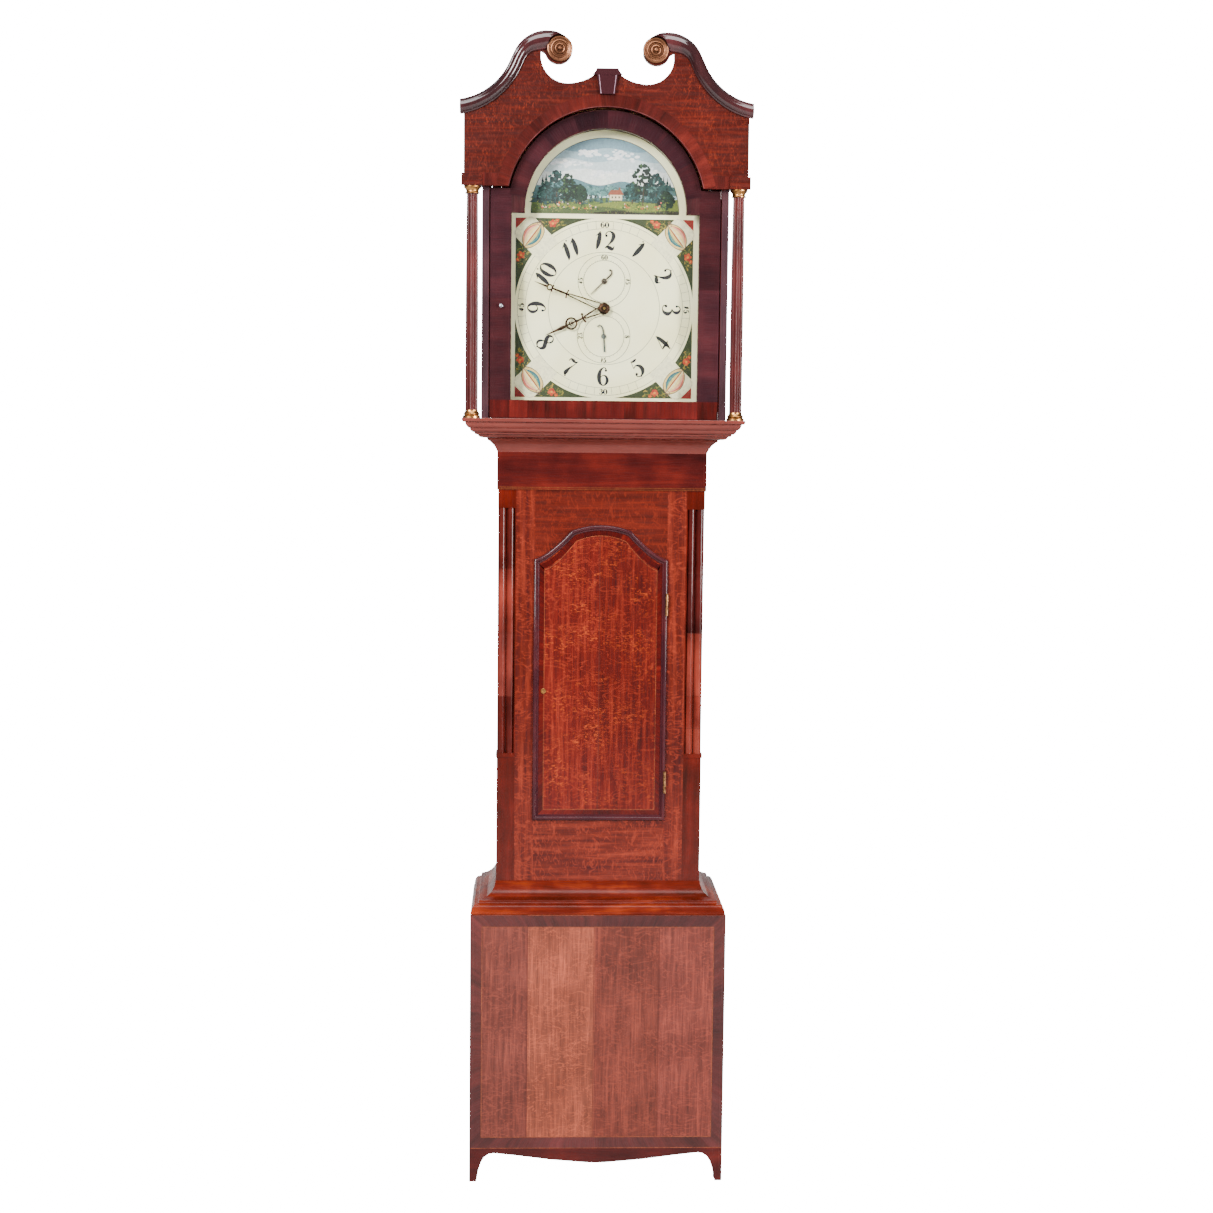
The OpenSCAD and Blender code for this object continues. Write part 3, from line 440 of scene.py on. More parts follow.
# the woods, each with its dark, middle and light colour
trunkTones = ("#190304", "#2F0904", "#52190D")
quarterTones = ("#230907", "#3F1510", "#541E17")
crossCut = {"veneer": True, "useTint": True}  # bands of veneer, cut in blocks of their own tone
woods = {
    "hoodOak": polishedOak("frenchPolishedOakAcross", "#170403", "#200503", "#380F08", along="x",
                           fleck=0.42, streak=170.0, lines=0.45, ray="#501808"),
    "trunkOak": polishedOak("frenchPolishedOak", *trunkTones),
    "bottomRail": polishedOak("frenchPolishedOakRail", *trunkTones, along="x",
                              shift=(0.3, 0, 0.7)),
    "topRail": polishedOak("frenchPolishedOakTopRail", "#1A0402", "#2C0804", "#421006", along="x",
                           shift=(0.1, 0, 0.2), fleck=0.25),
    "doorOak": polishedOak(
        "frenchPolishedOakPanel", "#1E0404", "#340805", "#561A0E", fleck=0.65, ray="#6A280C",
        lines=0.5, streak=170.0, boards={
            "axis": "X", "span": (-121, 121), "tints": [(-121, "#FFF6EC"), (-2, "#E8DAD0")]}),
    "baseOak": polishedOak(
        "frenchPolishedOakBase", "#311A16", "#4B2721", "#66342A", shift=(2, 1, 0), lines=0.5,
        tone=0.8, streak=190.0, boards={
            "axis": "X", "span": (-232, 232), "tints": [
                (-232, "#C9B4B0"), (-128, "#FFE4C8"), (-7, "#C8ABA2"), (111, "#D4B6B2")]}),
    "sideOak": polishedOak("frenchPolishedOakSide", "#200705", "#340B06", "#4C1309",
                           shift=(1, 2, 3)),
    "waist": polishedMahogany("frenchPolishedWaistMoulding", "#1C0401", "#320904", "#541A08",
                              veneer=True, ribbon=60.0, coat=0.02),
    "neck": polishedMahogany("thickShellacMahogany", "#120708", "#1C0A0B", "#280F10", gloss=0.12,
                             poreDepth=0.12, ribbon=20.0, coat=0.4),
    # the grey lilac cast of this mahogany is a painted reflection of the sheen on the hood's side
    # edges
    "sideEdge": polishedMahogany("greyedSheenSideEdge", "#160C0E", "#1E1114", "#281719"),
    "lip": polishedMahogany("darkMahoganyLip", "#14060A", "#20090C", "#2E0F10", veneer=True,
                            poreDepth=0.1, ribbon=30.0),
    "post": polishedMahogany("frenchPolishedMahoganyPost", "#180301", "#290502", "#3E0B05"),
    "quarterLeft": polishedMahogany("jointedMahoganyColumnLeft", *quarterTones, boards={
        "axis": "Z", "span": (784, 1229), "tints": [
            (784, "#B08E88"), (888, "#FFFFFF"), (1003, "#F4E4DC"), (1119, "#C9A8A0")]}),
    "quarterRight": polishedMahogany("jointedMahoganyColumnRight", *quarterTones, boards={
        "axis": "Z", "span": (784, 1229), "tints": [
            (784, "#FFF0E0"), (831, "#F2D6C8"), (890, "#FFF4E8"), (1004, "#8E7E88"),
            (1114, "#9A7C80")]}),
    "mahogany": polishedMahogany("frenchPolishedMahogany", "#0F0707", "#190A0B", "#240E0F"),
    "frieze": polishedMahogany("frenchPolishedMahoganyFrieze", "#150303", "#240605", "#380C08",
                               along="x"),
    "moulded": polishedMahogany("frenchPolishedMahoganyMoulding", "#34130F", "#3D1814",
                                "#471D18", veneer=True, ribbon=60.0),
    "crossband": polishedMahogany("mahoganyCrossbandVeneer", "#180303", "#270403", "#370804",
                                  ribbon=160.0, **crossCut),
    "archBand": polishedMahogany("reddishMahoganyVeneer", "#160504", "#260907", "#38100C",
                                 ribbon=60.0, poreDepth=0.15, **crossCut),
    "doorBand": polishedMahogany("darkMahoganyVeneer", "#0E0507", "#160709", "#200B0D",
                                 ribbon=26.0, **crossCut),
    "railBand": polishedMahogany("stripedMahoganyVeneer", "#120403", "#230605", "#320A08",
                                 ribbon=60.0, poreDepth=0.25, **crossCut),
    "baseBand": polishedMahogany("fadedMahoganyVeneer", "#1B0B0A", "#270F0E", "#331312",
                                 ribbon=70.0, poreDepth=0.25, **crossCut),
    "bead": polishedMahogany("frenchPolishedMahoganyBead", "#1C0B0B", "#2C1414", "#402020"),
    "column": polishedMahogany("frenchPolishedMahoganyColumn", "#1D0808", "#2B0D0C", "#3A1412",
                               gloss=0.3, poreDepth=0.05, ribbon=20.0, coat=0.04),
    "stringing": polishedOak("boxwoodStringing", "#33160C", "#4A2212", "#62321C", fleck=0.0),
    "friezeLine": polishedOak("boxwoodFriezeLine", "#30180A", "#442410", "#583018", fleck=0.0),
    # lilac grey lines that are painted highlights on the keystone's lit edges
    "keyHighlight": polishedOak("keystoneEdgeHighlight", "#3A2A2C", "#54424A", "#6A5860", fleck=0.0),
    "pine": agedPine("agedPine"),
}
metals = {
    "brass": agedMetal("lacqueredBrass", "#8A6036", "#44280F", rough=0.24),
    "oldBrass": agedMetal("tarnishedBrass", "#5A3A28", "#3C2418", rough=0.3, scale=40.0),
    "hingeBrass": agedMetal("dirtyBrass", "#6A4A30", "#1C0E08", rough=0.35, scale=260.0),
    "trainBrass": agedMetal("polishedBrass", "#E0BC70", "#B08A42", rough=0.18, scale=40.0),
    "steel": agedMetal("wornSteel", "#8E9094", "#55565A", rough=0.28),
    "handSteel": agedMetal("bronzedSteel", "#5E564A", "#2E2A22", rough=0.35, scale=300.0),
    "handBrass": agedMetal("darkenedBrass", "#4A3426", "#1C130E", rough=0.3, scale=220.0),
    "dateSteel": agedMetal("greyedSteel", "#5C6258", "#3C4038", rough=0.45, scale=300.0,
                           metal=0.6),
    "lead": agedMetal("castLead", "#5A5C60", "#37383B", rough=0.5, metal=0.8, bump=0.5),
}
paints = {
    "dial": dialEnamel("dialEnamel", "#F6F3C4", "#EEE8B0"),
    "art": brushPaint("dialBrushPaint"),
    "lines": brushPaint("thinDialLines", grainScale=900.0, contrast=0.25),
    "ink": brushPaint("lampblackBrushwork", grainScale=500.0, contrast=0.15),
}
cord = laidCord("laidHempCord")

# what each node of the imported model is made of
nodeMaterials = {
    woods["pine"]: "backboard seatboard hood_top",
    woods["sideOak"]: "base_side_left base_side_right trunk_side_left trunk_side_right "
                      "hood_side_left hood_side_right",
    woods["baseOak"]: "base_front",
    woods["trunkOak"]: "trunk_stiles",
    woods["bottomRail"]: "trunk_bottom_rail",
    woods["topRail"]: "trunk_top_rail",
    woods["waist"]: "waist_moulding",
    woods["doorOak"]: "trunk_door_panel",
    woods["hoodOak"]: "arch_front",
    woods["post"]: "corner_post_left corner_post_right",
    woods["quarterLeft"]: "quarter_column_left",
    woods["quarterRight"]: "quarter_column_right",
    woods["mahogany"]: "hood_column_left hood_column_right keystone swan_neck_left "
                       "swan_neck_right hood_door_frame trunk_door_moulding",
    woods["frieze"]: "trunk_frieze front_apron",
    woods["moulded"]: "trunk_cove hood_base_frame",
    paints["dial"]: "dial_plate",
    crownGlass("crownGlass"): "hood_door_glass",
    metals["brass"]: "column_brasses bell",
    metals["hingeBrass"]: "trunk_hinges",
    metals["oldBrass"]: "rosettes pendulum_bob minute_hand hour_hand",
    metals["trainBrass"]: "train_bars great_wheel centre_wheel third_wheel escape_wheel "
                          "minute_wheel hour_wheel strike_wheel weight_pulley",
    metals["steel"]: "movement_frame anchor pendulum_rod hammer",
    metals["handSteel"]: "seconds_hand date_hand",
    metals["lead"]: "weight ring_weight",
    cord: "rope_top weight_rope ring_rope",
}
for material, names in nodeMaterials.items():
    for name in names.split():
        for slot in nodes[name].material_slots:
            slot.material = material
print("stage: materials made")

cameraPlan = {"place": (-0.1304, -3.5265, 1.3781), "pitch": 5.36, "yaw": 2.33, "roll": 0.63,
              "focal": 1928.1, "pixels": 1213}


# camera whose axes are worked out from its yaw, pitch and roll
def setCamera(plan):
    pitch, yaw, roll = (math.radians(plan[k]) for k in ("pitch", "yaw", "roll"))
    ahead = np.array([math.sin(yaw) * math.cos(pitch), math.cos(yaw) * math.cos(pitch),
                      -math.sin(pitch)])
    right = np.array([math.cos(yaw), -math.sin(yaw), 0])
    down = np.cross(ahead, right)
    across = right * math.cos(roll) - down * math.sin(roll)
    below = right * math.sin(roll) + down * math.cos(roll)
    data = bpy.data.cameras.new("camera")
    data.sensor_width, data.sensor_fit, data.clip_end = 36, "HORIZONTAL", 100
    data.lens = plan["focal"] / plan["pixels"] * 36
    camera = addObject("camera", data)
    axes = Matrix(np.stack([across, -below, -ahead], 1).tolist()).to_4x4()
    camera.matrix_world = Matrix.Translation(plan["place"]) @ axes
    bpy.context.scene.camera = camera


setCamera(cameraPlan)


floorPlan = {"half": 9000, "flatTo": 2600, "bend": 2400}


# wide matt floor that curves up behind, both nearly white
def studioFloor():
    half, flatTo, radius = (floorPlan[k] for k in ("half", "flatTo", "bend"))
    bend = np.radians(np.linspace(0, 90, 13))
    y = np.concatenate([[-half, 0], flatTo + radius * np.sin(bend), [flatTo + radius]])
    z = np.concatenate([[0, 0], radius - radius * np.cos(bend), [half]])
    points = [(x, b, c) for b, c in zip(y, z) for x in (-half, 0, half)]
    mesh = bpy.data.meshes.new("studioFloor")
    mesh.from_pydata(mm(points).tolist(), [], [f[::-1] for f in gridFaces(len(y), 3)])
    mesh.polygons.foreach_set("use_smooth", [True] * len(mesh.polygons))
    look = Look("mattPaperSweep", Roughness=0.9, Emission_Color="#FFFFFF")
    # glows for the camera alone, so that it is white and yet stays calm in the polish
    seen = look.add("LightPath").outputs["Is Camera Ray"]
    look.put(Base_Color=look.ramp(look.noise(look.place, 3.0, 2.0),
                                  [(0.0, "#A9A9A8"), (1.0, "#B0B0AF")]),
             Emission_Strength=look.remap(seen, end=16.0))
    mesh.materials.append(look.material)
    addObject("studioFloor", mesh)


studioFloor()

lamps = {
    "keyLeft": {"place": (-2.6, -3.4, 3.2), "aim": (0, 0, 1.2), "size": (1.6, 2.2), "power": 1240},
    "fillRight": {"place": (2.8, -2.8, 1.9), "aim": (0, 0, 1.1), "size": (1.2, 2.4), "power": 920},
    "top": {"place": (0, -1.6, 4.2), "aim": (0, 0, 1.0), "size": (2.5, 1.5), "power": 300},
}
for name, lamp in lamps.items():
    data = bpy.data.lights.new(name, "AREA")
    data.shape, data.energy = "RECTANGLE", lamp["power"]
    data.size, data.size_y = lamp["size"]
    aim = Vector(lamp["aim"]) - Vector(lamp["place"])
    addObject(name, data).matrix_world = (
        Matrix.Translation(lamp["place"]) @ aim.to_track_quat("-Z", "Y").to_matrix().to_4x4())

world = bpy.data.worlds.new("studioWorld")
world.use_nodes = True
sky = world.node_tree.nodes["Background"].inputs
sky["Color"].default_value, sky["Strength"].default_value = hexColour("#FFFFFF"), 0.24
bpy.context.scene.world = world
print("stage: camera, floor and light set")

rng = np.random.default_rng(7)


# a band of crossbanding: path in XZ, band laid "width" to its left, cut into blocks of veneer
# with their own tone; the map's u runs along the band and v across it, which is the grain
def veneerBand(name, path, width, plane, body, material=woods["crossband"], closed=False,
               block=75, thick=0.25, spread=0.22, base=1.0):
    path = floats(path)
    m = mitres(path, closed)
    if closed:
        path, m = np.vstack([path, path[:1]]), np.vstack([m, m[:1]])
    s = lengths(path)
    count = max(2, round(s[-1] / block))
    cuts = np.arange(1, count) * s[-1] / count + rng.uniform(-0.12, 0.12, count - 1) * block
    stops = np.unique(np.concatenate([s, cuts]))
    pick = lambda rows: np.stack([np.interp(stops, s, column) for column in rows.T], -1)
    inner, outer = pick(path), pick(path) + width * pick(m)
    start, end = stops[:-1], stops[1:]
    which = np.searchsorted(cuts, (start + end) / 2)
    tones = rng.uniform(1 - spread, 1 + spread, count)[which] * base
    warm = rng.uniform(-0.06, 0.06, count)[which]
    u = np.stack([start, end, end, start], 1) + rng.uniform(0, 900, count)[which][:, None]
    uv = np.stack([u, np.broadcast_to([0, 0, width, width], u.shape)], -1)
    tint = np.stack([tones + warm, tones, tones - warm, np.ones(len(tones))], -1).repeat(4, 0)
    corners = np.stack([inner[:-1], inner[1:], outer[1:], outer[:-1]], 1)
    faces = np.arange(4 * len(tones)).reshape(-1, 4)
    ahead, aside = corners[0, 1] - corners[0, 0], corners[0, 3] - corners[0, 0]
    if ahead[0] * aside[1] < ahead[1] * aside[0]:
        faces = faces[:, ::-1]
    makePiece(name, atDepth(corners, plane - thick), faces, material, body, "mahogany",
              uv=mm(uv.reshape(-1, 2)), tint=tint, smooth=False)


# thin lines of light wood let in flush, as narrow strips that stand 0.1 mm proud
def stringLine(name, paths, width, plane, body, material=woods["stringing"]):
    strips = [ribbon(path, width, closed) for path, closed in paths]
    makePiece(name, *joined([(atDepth(xz, plane), faces) for xz, faces in strips]), material,
              body, "oak", smooth=False)


# outline of a face as a closed path, anticlockwise seen from the front, "cut" inside its edges
def rectangle(face, cut=0.0):
    half, low, high = face["half"] - cut, face["low"] + cut, face["high"] - cut
    return [(-half, low), (half, low), (half, high), (-half, high)]


stringLine("friezeStringing", [([(-187.6, z), (187.6, z)], False) for z in (1263.4, 1266.6)],
           0.6, -63.15, "case", woods["friezeLine"])
baseFace = {"half": 231.0, "low": 62.3, "high": 495.7, "band": 21.0}
veneerBand("baseCrossband", rectangle(baseFace), baseFace["band"], plan["base"], "case",
           woods["baseBand"], closed=True, block=110)
stringLine("baseStringing", [(rectangle(baseFace, baseFace["band"]), True),
                             ([(-231, 62.6), (231, 62.6)], False)], 0.8, -110.35, "case")

# front board of the hood: radial crossbanding round the opening that runs out along the bottom
archBand = {"radius": 173.4, "low": 1791.2, "width": 21.6}
foot = math.degrees(math.asin((archBand["low"] - plan["archZ"]) / archBand["radius"]))
veneerBand("archCrossband", arcPoints(0, plan["archZ"], archBand["radius"], 180 - foot, foot, 73),
           archBand["width"], plan["board"], "hood", woods["archBand"], block=58, base=0.85,
           spread=0.3)
for side, end in sides:
    veneerBand("archFoot" + end, [(side * 247.6, archBand["low"]), (side * 171, archBand["low"])],
               -archBand["width"] * side, plan["board"] + 0.05, "hood", woods["archBand"],
               block=60, thick=0.2, base=0.9)
stringLine("archEdgeLine", [(arcPoints(0, plan["archZ"], 174.2, 180 - foot, foot, 73), False)],
           1.2, -119.4, "hood", woods["bead"])

# door of the hood: stiles and lower rail with cross grain, and the arch with radial grain
hoodDoor = {"half": 201.3, "rail": 1421.4, "high": 1788.8}
for side, end in sides:
    x = side * hoodDoor["half"]
    veneerBand("hoodDoorStile" + end, [(x, hoodDoor["rail"]), (x, hoodDoor["high"])], 36.6 * side,
               plan["door"], "hood_door", woods["doorBand"], block=190, base=1.1)
veneerBand("hoodDoorRail", [(side * hoodDoor["half"], hoodDoor["rail"]) for side in (1, -1)],
           31.0, plan["door"], "hood_door", woods["railBand"], block=34, spread=0.45)
veneerBand("hoodDoorArch", arcPoints(0, 1753.5, 142, 172, 8, 65), 28.2, plan["door"],
           "hood_door", woods["doorBand"], block=52, base=0.9, thick=0.35, spread=0.3)
# front edges of the hood's sides, dark mahogany greyed with a painted reflection of their sheen
for side, end in sides:
    veneerBand("hoodSideEdge" + end, [(side * 215.8, 1389.4), (side * 215.8, 1790.6)],
               12.1 * side, -107.0, "hood", woods["sideEdge"], block=400, spread=0.05, thick=0.15)
print("stage: veneers laid")

door = {"half": 119.0, "sill": 663.0, "shoulder": 1136.0, "rise": 62.0, "crown": 0.86,
        "meet": 0.45, "hollow": 1.45}


# closed outline of the trunk door: its top is a parabola as far out as "meet", and then a hollow
# that falls to the shoulder as the power "hollow" of what is left of the width
def doorOutline(cut, count=66):
    half = door["half"] - cut
    x = half * np.linspace(1, -1, count)
    u = np.abs(x) / half
    crown = lambda t: 1 - door["crown"] * t ** 2
    left = np.clip((1 - u) / (1 - door["meet"]), 0, None)
    top = np.where(u < door["meet"], crown(u), left ** door["hollow"] * crown(door["meet"]))
    z = door["shoulder"] - cut + door["rise"] * top
    return np.vstack([[(-half, door["sill"] + cut), (half, door["sill"] + cut)],
                      np.stack([x, z], -1)])


# lip moulding planted round the door: a quarter round outside, a small ogee inside
lipProfile = [(0.2, 0.0), (0.0, 1.2), (0.25, 2.8), (1.0, 4.2), (2.2, 5.2), (3.6, 5.6), (5.0, 5.3),
              (6.2, 4.4), (7.0, 3.2), (7.6, 2.4), (8.6, 2.1), (9.6, 1.8), (10.2, 1.0), (10.4, 0.0)]
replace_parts(moulding("doorLipMoulding", doorOutline(-2.0), lipProfile, plan["trunk"],
                     woods["lip"], "trunk_door", "mahogany"), "trunk_door_moulding")
veneerBand("doorCrossband", doorOutline(8.2), 9.0, plan["trunk"], "trunk_door", closed=True,
           block=70)
stringLine("doorStringing", [(doorOutline(17.6), True)], 0.8, -61.35, "trunk_door")

# arcs of the swan neck as centre x, z and radius; profile points are (share of the way down, out)
neck = {"hollow": (-271.6, 2047.5, 111.7), "crown": (-104.4, 1991.8, 63.5),
        "turn": (-101.0, 2014.8, 40.5), "under": (-278, 2051.5, 141.7),
        "eye": (-83.2, 2025.6, 22.7), "tipX": -255, "tipHigh": 1936.9, "tipLow": 1914.5,
        "bend": [(-144.4, 2004.2), (-139, 2013.5), (-131, 2019.5), (-121, 2022), (-111, 2023.2),
                 (-105.6, 2025.6)]}
neckProfile = floats([(0.0, 0.0), (0.0, 6.2), (0.015, 7.4), (0.07, 7.6), (0.11, 6.3), (0.16, 6.0),
                      (0.24, 7.3), (0.34, 8.9), (0.46, 9.8), (0.58, 9.7), (0.70, 8.6),
                      (0.80, 6.6), (0.87, 4.4), (0.91, 3.0), (0.94, 2.6), (0.985, 2.3),
                      (1.0, 1.4), (1.0, 0.0)])


# swan neck: a ruled surface between its upper and lower edge, bellied by the profile
def swanNeck(side, end):
    rise = np.vstack([[(neck["tipX"], neck["tipHigh"])],
                      arcPoints(*neck["hollow"], -78, -22, 24)])
    low = np.vstack([[(neck["tipX"], neck["tipLow"])],
                     arcPoints(*neck["under"], -80.5, -19.5, 30)])
    upper = np.vstack([resample(rise, 40), arcPoints(*neck["crown"], 149, 92, 20),
                       arcPoints(*neck["turn"], 82, 50, 14)])
    lower = np.vstack([resample(low, 40), resample(neck["bend"], 20),
                       arcPoints(*neck["eye"], 178, 65, 14)])
    v = neckProfile[:, :1]
    xz = (upper[:, None] * (1 - v) + lower[:, None] * v) * [side, 1]
    piece = makePiece("swanNeckMoulding" + end, atDepth(xz, plan["board"] - neckProfile[:, 1]),
                      tubeFaces(len(upper), len(v)), woods["neck"], "hood", "mahogany")
    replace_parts(tidyNormals(piece, 50), "swan_neck_" + end.lower())


swanNeck(1, "Left")
swanNeck(-1, "Right")


# moulding mitred round the front and both sides; profile points are (outward, height)
def planMoulding(name, profile, half, front, back, material, body, node):
    o, z = profile.T
    ends = [(-half - o, 0 * o + back), (-half - o, front - o), (half + o, front - o),
            (half + o, 0 * o + back)]
    deep = back - front
    piece = makePiece(name, np.concatenate([np.stack([x, y, z], -1) for x, y in ends]),
                      tubeFaces(4, len(z)), material, body, "mahogany", uv=mouldingMap(
                          profile, floats([0, deep, deep + 2 * half, 2 * deep + 2 * half])))
    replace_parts(tidyNormals(piece, 32), node)


planMoulding("hoodBaseMoulding", joinProfile(
    [(0, 1389), (61.6, 1389), (62, 1388.4)],
    ([(62, 1386.4), (61.6, 1384.2), (60.2, 1382.6), (58.0, 1382.0)], 8), [(56.4, 1381.8)],
    ([(56.2, 1380.8), (55.2, 1377.6), (53.2, 1374.4), (50.4, 1371.8)], 9), [(48.6, 1371.6)],
    ([(48.2, 1370.6), (47.4, 1368.0), (45.2, 1365.6), (42.4, 1364.05)], 8), [(0, 1364.05)]),
    187.5, -63.5, 128.6, woods["moulded"], "hood", "hood_base_frame")
planMoulding("trunkCoveMoulding", joinProfile(
    [(0, 1329.2)], ([(1.8, 1329.2), (3.4, 1333), (6.3, 1338.5), (10.5, 1344), (15.5, 1348.5),
                     (19.6, 1351.2)], 18), [(19.8, 1351.4), (19.8, 1353.8)],
    ([(22, 1354.2), (29, 1354.7), (33.6, 1356.4), (36, 1359.2)], 9), [(36.2, 1359.8)],
    ([(38.0, 1360.1), (41, 1361), (42, 1363.95)], 5), [(0, 1363.95)]),
    186, -61, 118.6, woods["moulded"], "case", "trunk_cove")
planMoulding("waistMoulding", joinProfile(
    [(0, 548.8)], ([(0.8, 548.8), (2, 541), (5, 534), (9.5, 528), (15.5, 523.5), (23, 520.5),
                    (30.2, 519.0)], 22), [(30.4, 518.8), (30.4, 515.2)],
    ([(31, 514.4), (33, 513.2), (37.5, 512.4), (40.4, 510), (42.6, 506), (43.8, 501),
      (43.9, 496.4)], 16), [(0, 496.4)]),
    186, -61, 128.8, woods["waist"], "case", "waist_moulding")

# rosettes turned with rings round a small boss; radius, then distance out from the board
rosette = [(0.0, 0.0), (22.5, 0.0), (22.5, 3.6), (22.0, 4.6), (21.0, 5.4), (19.4, 5.8), (18.0, 5.4),
           (17.2, 4.2), (16.4, 4.0), (15.6, 4.8), (14.6, 5.6), (13.4, 5.6), (12.6, 4.6),
           (11.8, 3.8), (10.6, 3.8), (9.6, 5.0), (8.4, 6.6), (7.0, 7.0), (6.0, 6.2), (5.4, 5.2),
           (4.6, 5.2), (4.0, 7.0), (3.2, 8.8), (1.8, 9.8), (0.0, 10.0)]
eyeX, eyeZ = neck["eye"][:2]
discs = [lathe("rosette" + end, rosette, (-side * eyeX, plan["board"], eyeZ), "y",
               metals["oldBrass"], "hood", "brass", 64) for side, end in sides]
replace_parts(discs[0], "rosettes")


# keystone: a tapered block with a painted highlight line down each side and a broad dark cap
def keystoneBlock():
    block = [(-13.4, 1949.4), (13.4, 1949.4), (18.3, 1982.8), (-18.3, 1982.8)]
    cap = [(-18.6, 1981.6), (18.6, 1981.6), (26.0, 1982.6), (22.0, 1986.6), (18.4, 1993.4),
           (-18.4, 1993.4), (-22.0, 1986.6), (-26.0, 1982.6)]
    meshes = []
    for shape, front, cut in ((block, 5.4, 0.8), (cap, 5.9, 1.0)):
        rim = floats(shape)
        out = rim - rim.mean(0)
        inner = rim.mean(0) + out * (1 - cut / np.hypot(*out.T))[:, None]
        rings = np.concatenate([atDepth(ring, plan["board"] - y) for ring, y in (
            (rim, 0.2), (rim, front - cut), (inner, front))])
        meshes.append((rings, tubeFaces(3, len(rim))))
    points, faces = joined(meshes)
    piece = makePiece("keystoneBlock", points, faces, woods["doorBand"], "hood", "mahogany",
                      tint=np.tile([1.25, 1.2, 1.2, 1.0], (len(points), 1)))
    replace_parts(tidyNormals(piece, 20), "keystone")
    # the two pale lines near the keystone's sides are painted highlights of its edges
    stringLine("keystoneHighlightLines", [([(x, 1950.5), (x * 1.32, 1982)], False) for x in (-11.2, 11.2)],
               1.1, plan["board"] - 5.55, "hood", woods["keyHighlight"])


keystoneBlock()

column = {"x": 233.0, "y": -106.0, "radius": 11.1, "reeds": 12, "depth": 1.5, "low": 1403.0,
          "high": 1778.0}
capProfile = [(11.4, 0), (12.6, 0.4), (12.8, 1.6), (11.6, 2.6), (11.0, 4.0), (11.4, 6.0),
              (12.8, 8.2), (14.6, 9.8), (15.0, 10.4), (14.9, 13.0), (0, 13.0)]
footProfile = [(0, 0), (15.6, 0), (15.6, 3.4), (14.8, 4.2), (13.0, 5.0), (14.0, 6.4), (14.2, 7.8),
               (13.2, 9.2), (12.0, 10.4), (11.3, 12.0), (11.1, 14.0), (0, 14.0)]


# hood column: reeds round a shaft that swells a little; radius = shaft - depth * (1 - |sin|)
def hoodColumn(side, end):
    turns = np.linspace(0, 2 * math.pi, column["reeds"] * 8, endpoint=False)
    z = np.linspace(column["low"], column["high"], 13)[:, None]
    t = (z - z[0]) / (z[-1] - z[0])
    shaft = column["radius"] * (1 - 0.1 * t + 0.06 * np.sin(math.pi * t))
    r = shaft - column["depth"] * (1 - np.abs(np.sin(turns * column["reeds"] / 2)))
    points = np.stack([side * column["x"] + r * np.cos(turns), column["y"] + r * np.sin(turns),
                       np.broadcast_to(z, r.shape)], -1).reshape(-1, 3)
    piece = makePiece("reededColumn" + end, points, tubeFaces(len(z), len(turns)),
                      woods["column"], "hood", "mahogany")
    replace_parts(tidyNormals(piece, 50), "hood_column_" + end.lower())


for side, end in sides:
    hoodColumn(side, end)
for side, end in sides:
    turned = lambda name, profile, z: lathe(
        name + end, profile, (side * column["x"], column["y"], z), "z", metals["brass"], "hood",
        "brass", 40)
    cap = turned("columnCap", [(0, 0)] + capProfile, column["high"])
    turned("columnFoot", footProfile, 1389)
    if side < 0:
        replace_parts(cap, "column_brasses")
print("stage: mouldings, necks and columns made")


# flat daubs of paint, each with its own colour, gathered into one thin mesh; x and z are
# measured from the centre of the dial
class PaintLayer:
    def __init__(self, lift):
        self.lift, self.meshes, self.tints = lift, [], []

    def add(self, xz, faces, colour, lift):
        points = atDepth(xz, plan["dial"] - self.lift - lift) + [0, 0, plan["dialZ"]]
        self.meshes.append((points, faces))
        self.tints.append(np.tile(hexColour(colour), (len(points), 1)))

    # a filled outline, anticlockwise seen from the front
    def shape(self, outline, colour, lift=0.0):
        outline = floats(outline)
        x, z = outline.T
        if np.sum(x * np.roll(z, -1) - np.roll(x, -1) * z) < 0:
            outline = outline[::-1]
        self.add(outline, [list(range(len(outline)))], colour, lift)

    # a stroke with its own width at every point
    def stroke(self, path, widths, colour, lift=0.0, closed=False):
        self.add(*ribbon(path, widths, closed), colour, lift)

    # a round or oval dot
    def dot(self, x, z, r, colour, lift=0.0, squash=1.0, turn=0.0, sides=14):
        a = np.linspace(0, 2 * math.pi, sides, endpoint=False)
        u, v = r * np.cos(a), r * squash * np.sin(a)
        c, s = math.cos(math.radians(turn)), math.sin(math.radians(turn))
        self.shape(np.stack([x + u * c - v * s, z + u * s + v * c], -1), colour, lift)

    def lay(self, name, material):
        makePiece(name, *joined(self.meshes), material, "case", "dial_paint",
                  tint=np.concatenate(self.tints), smooth=False)


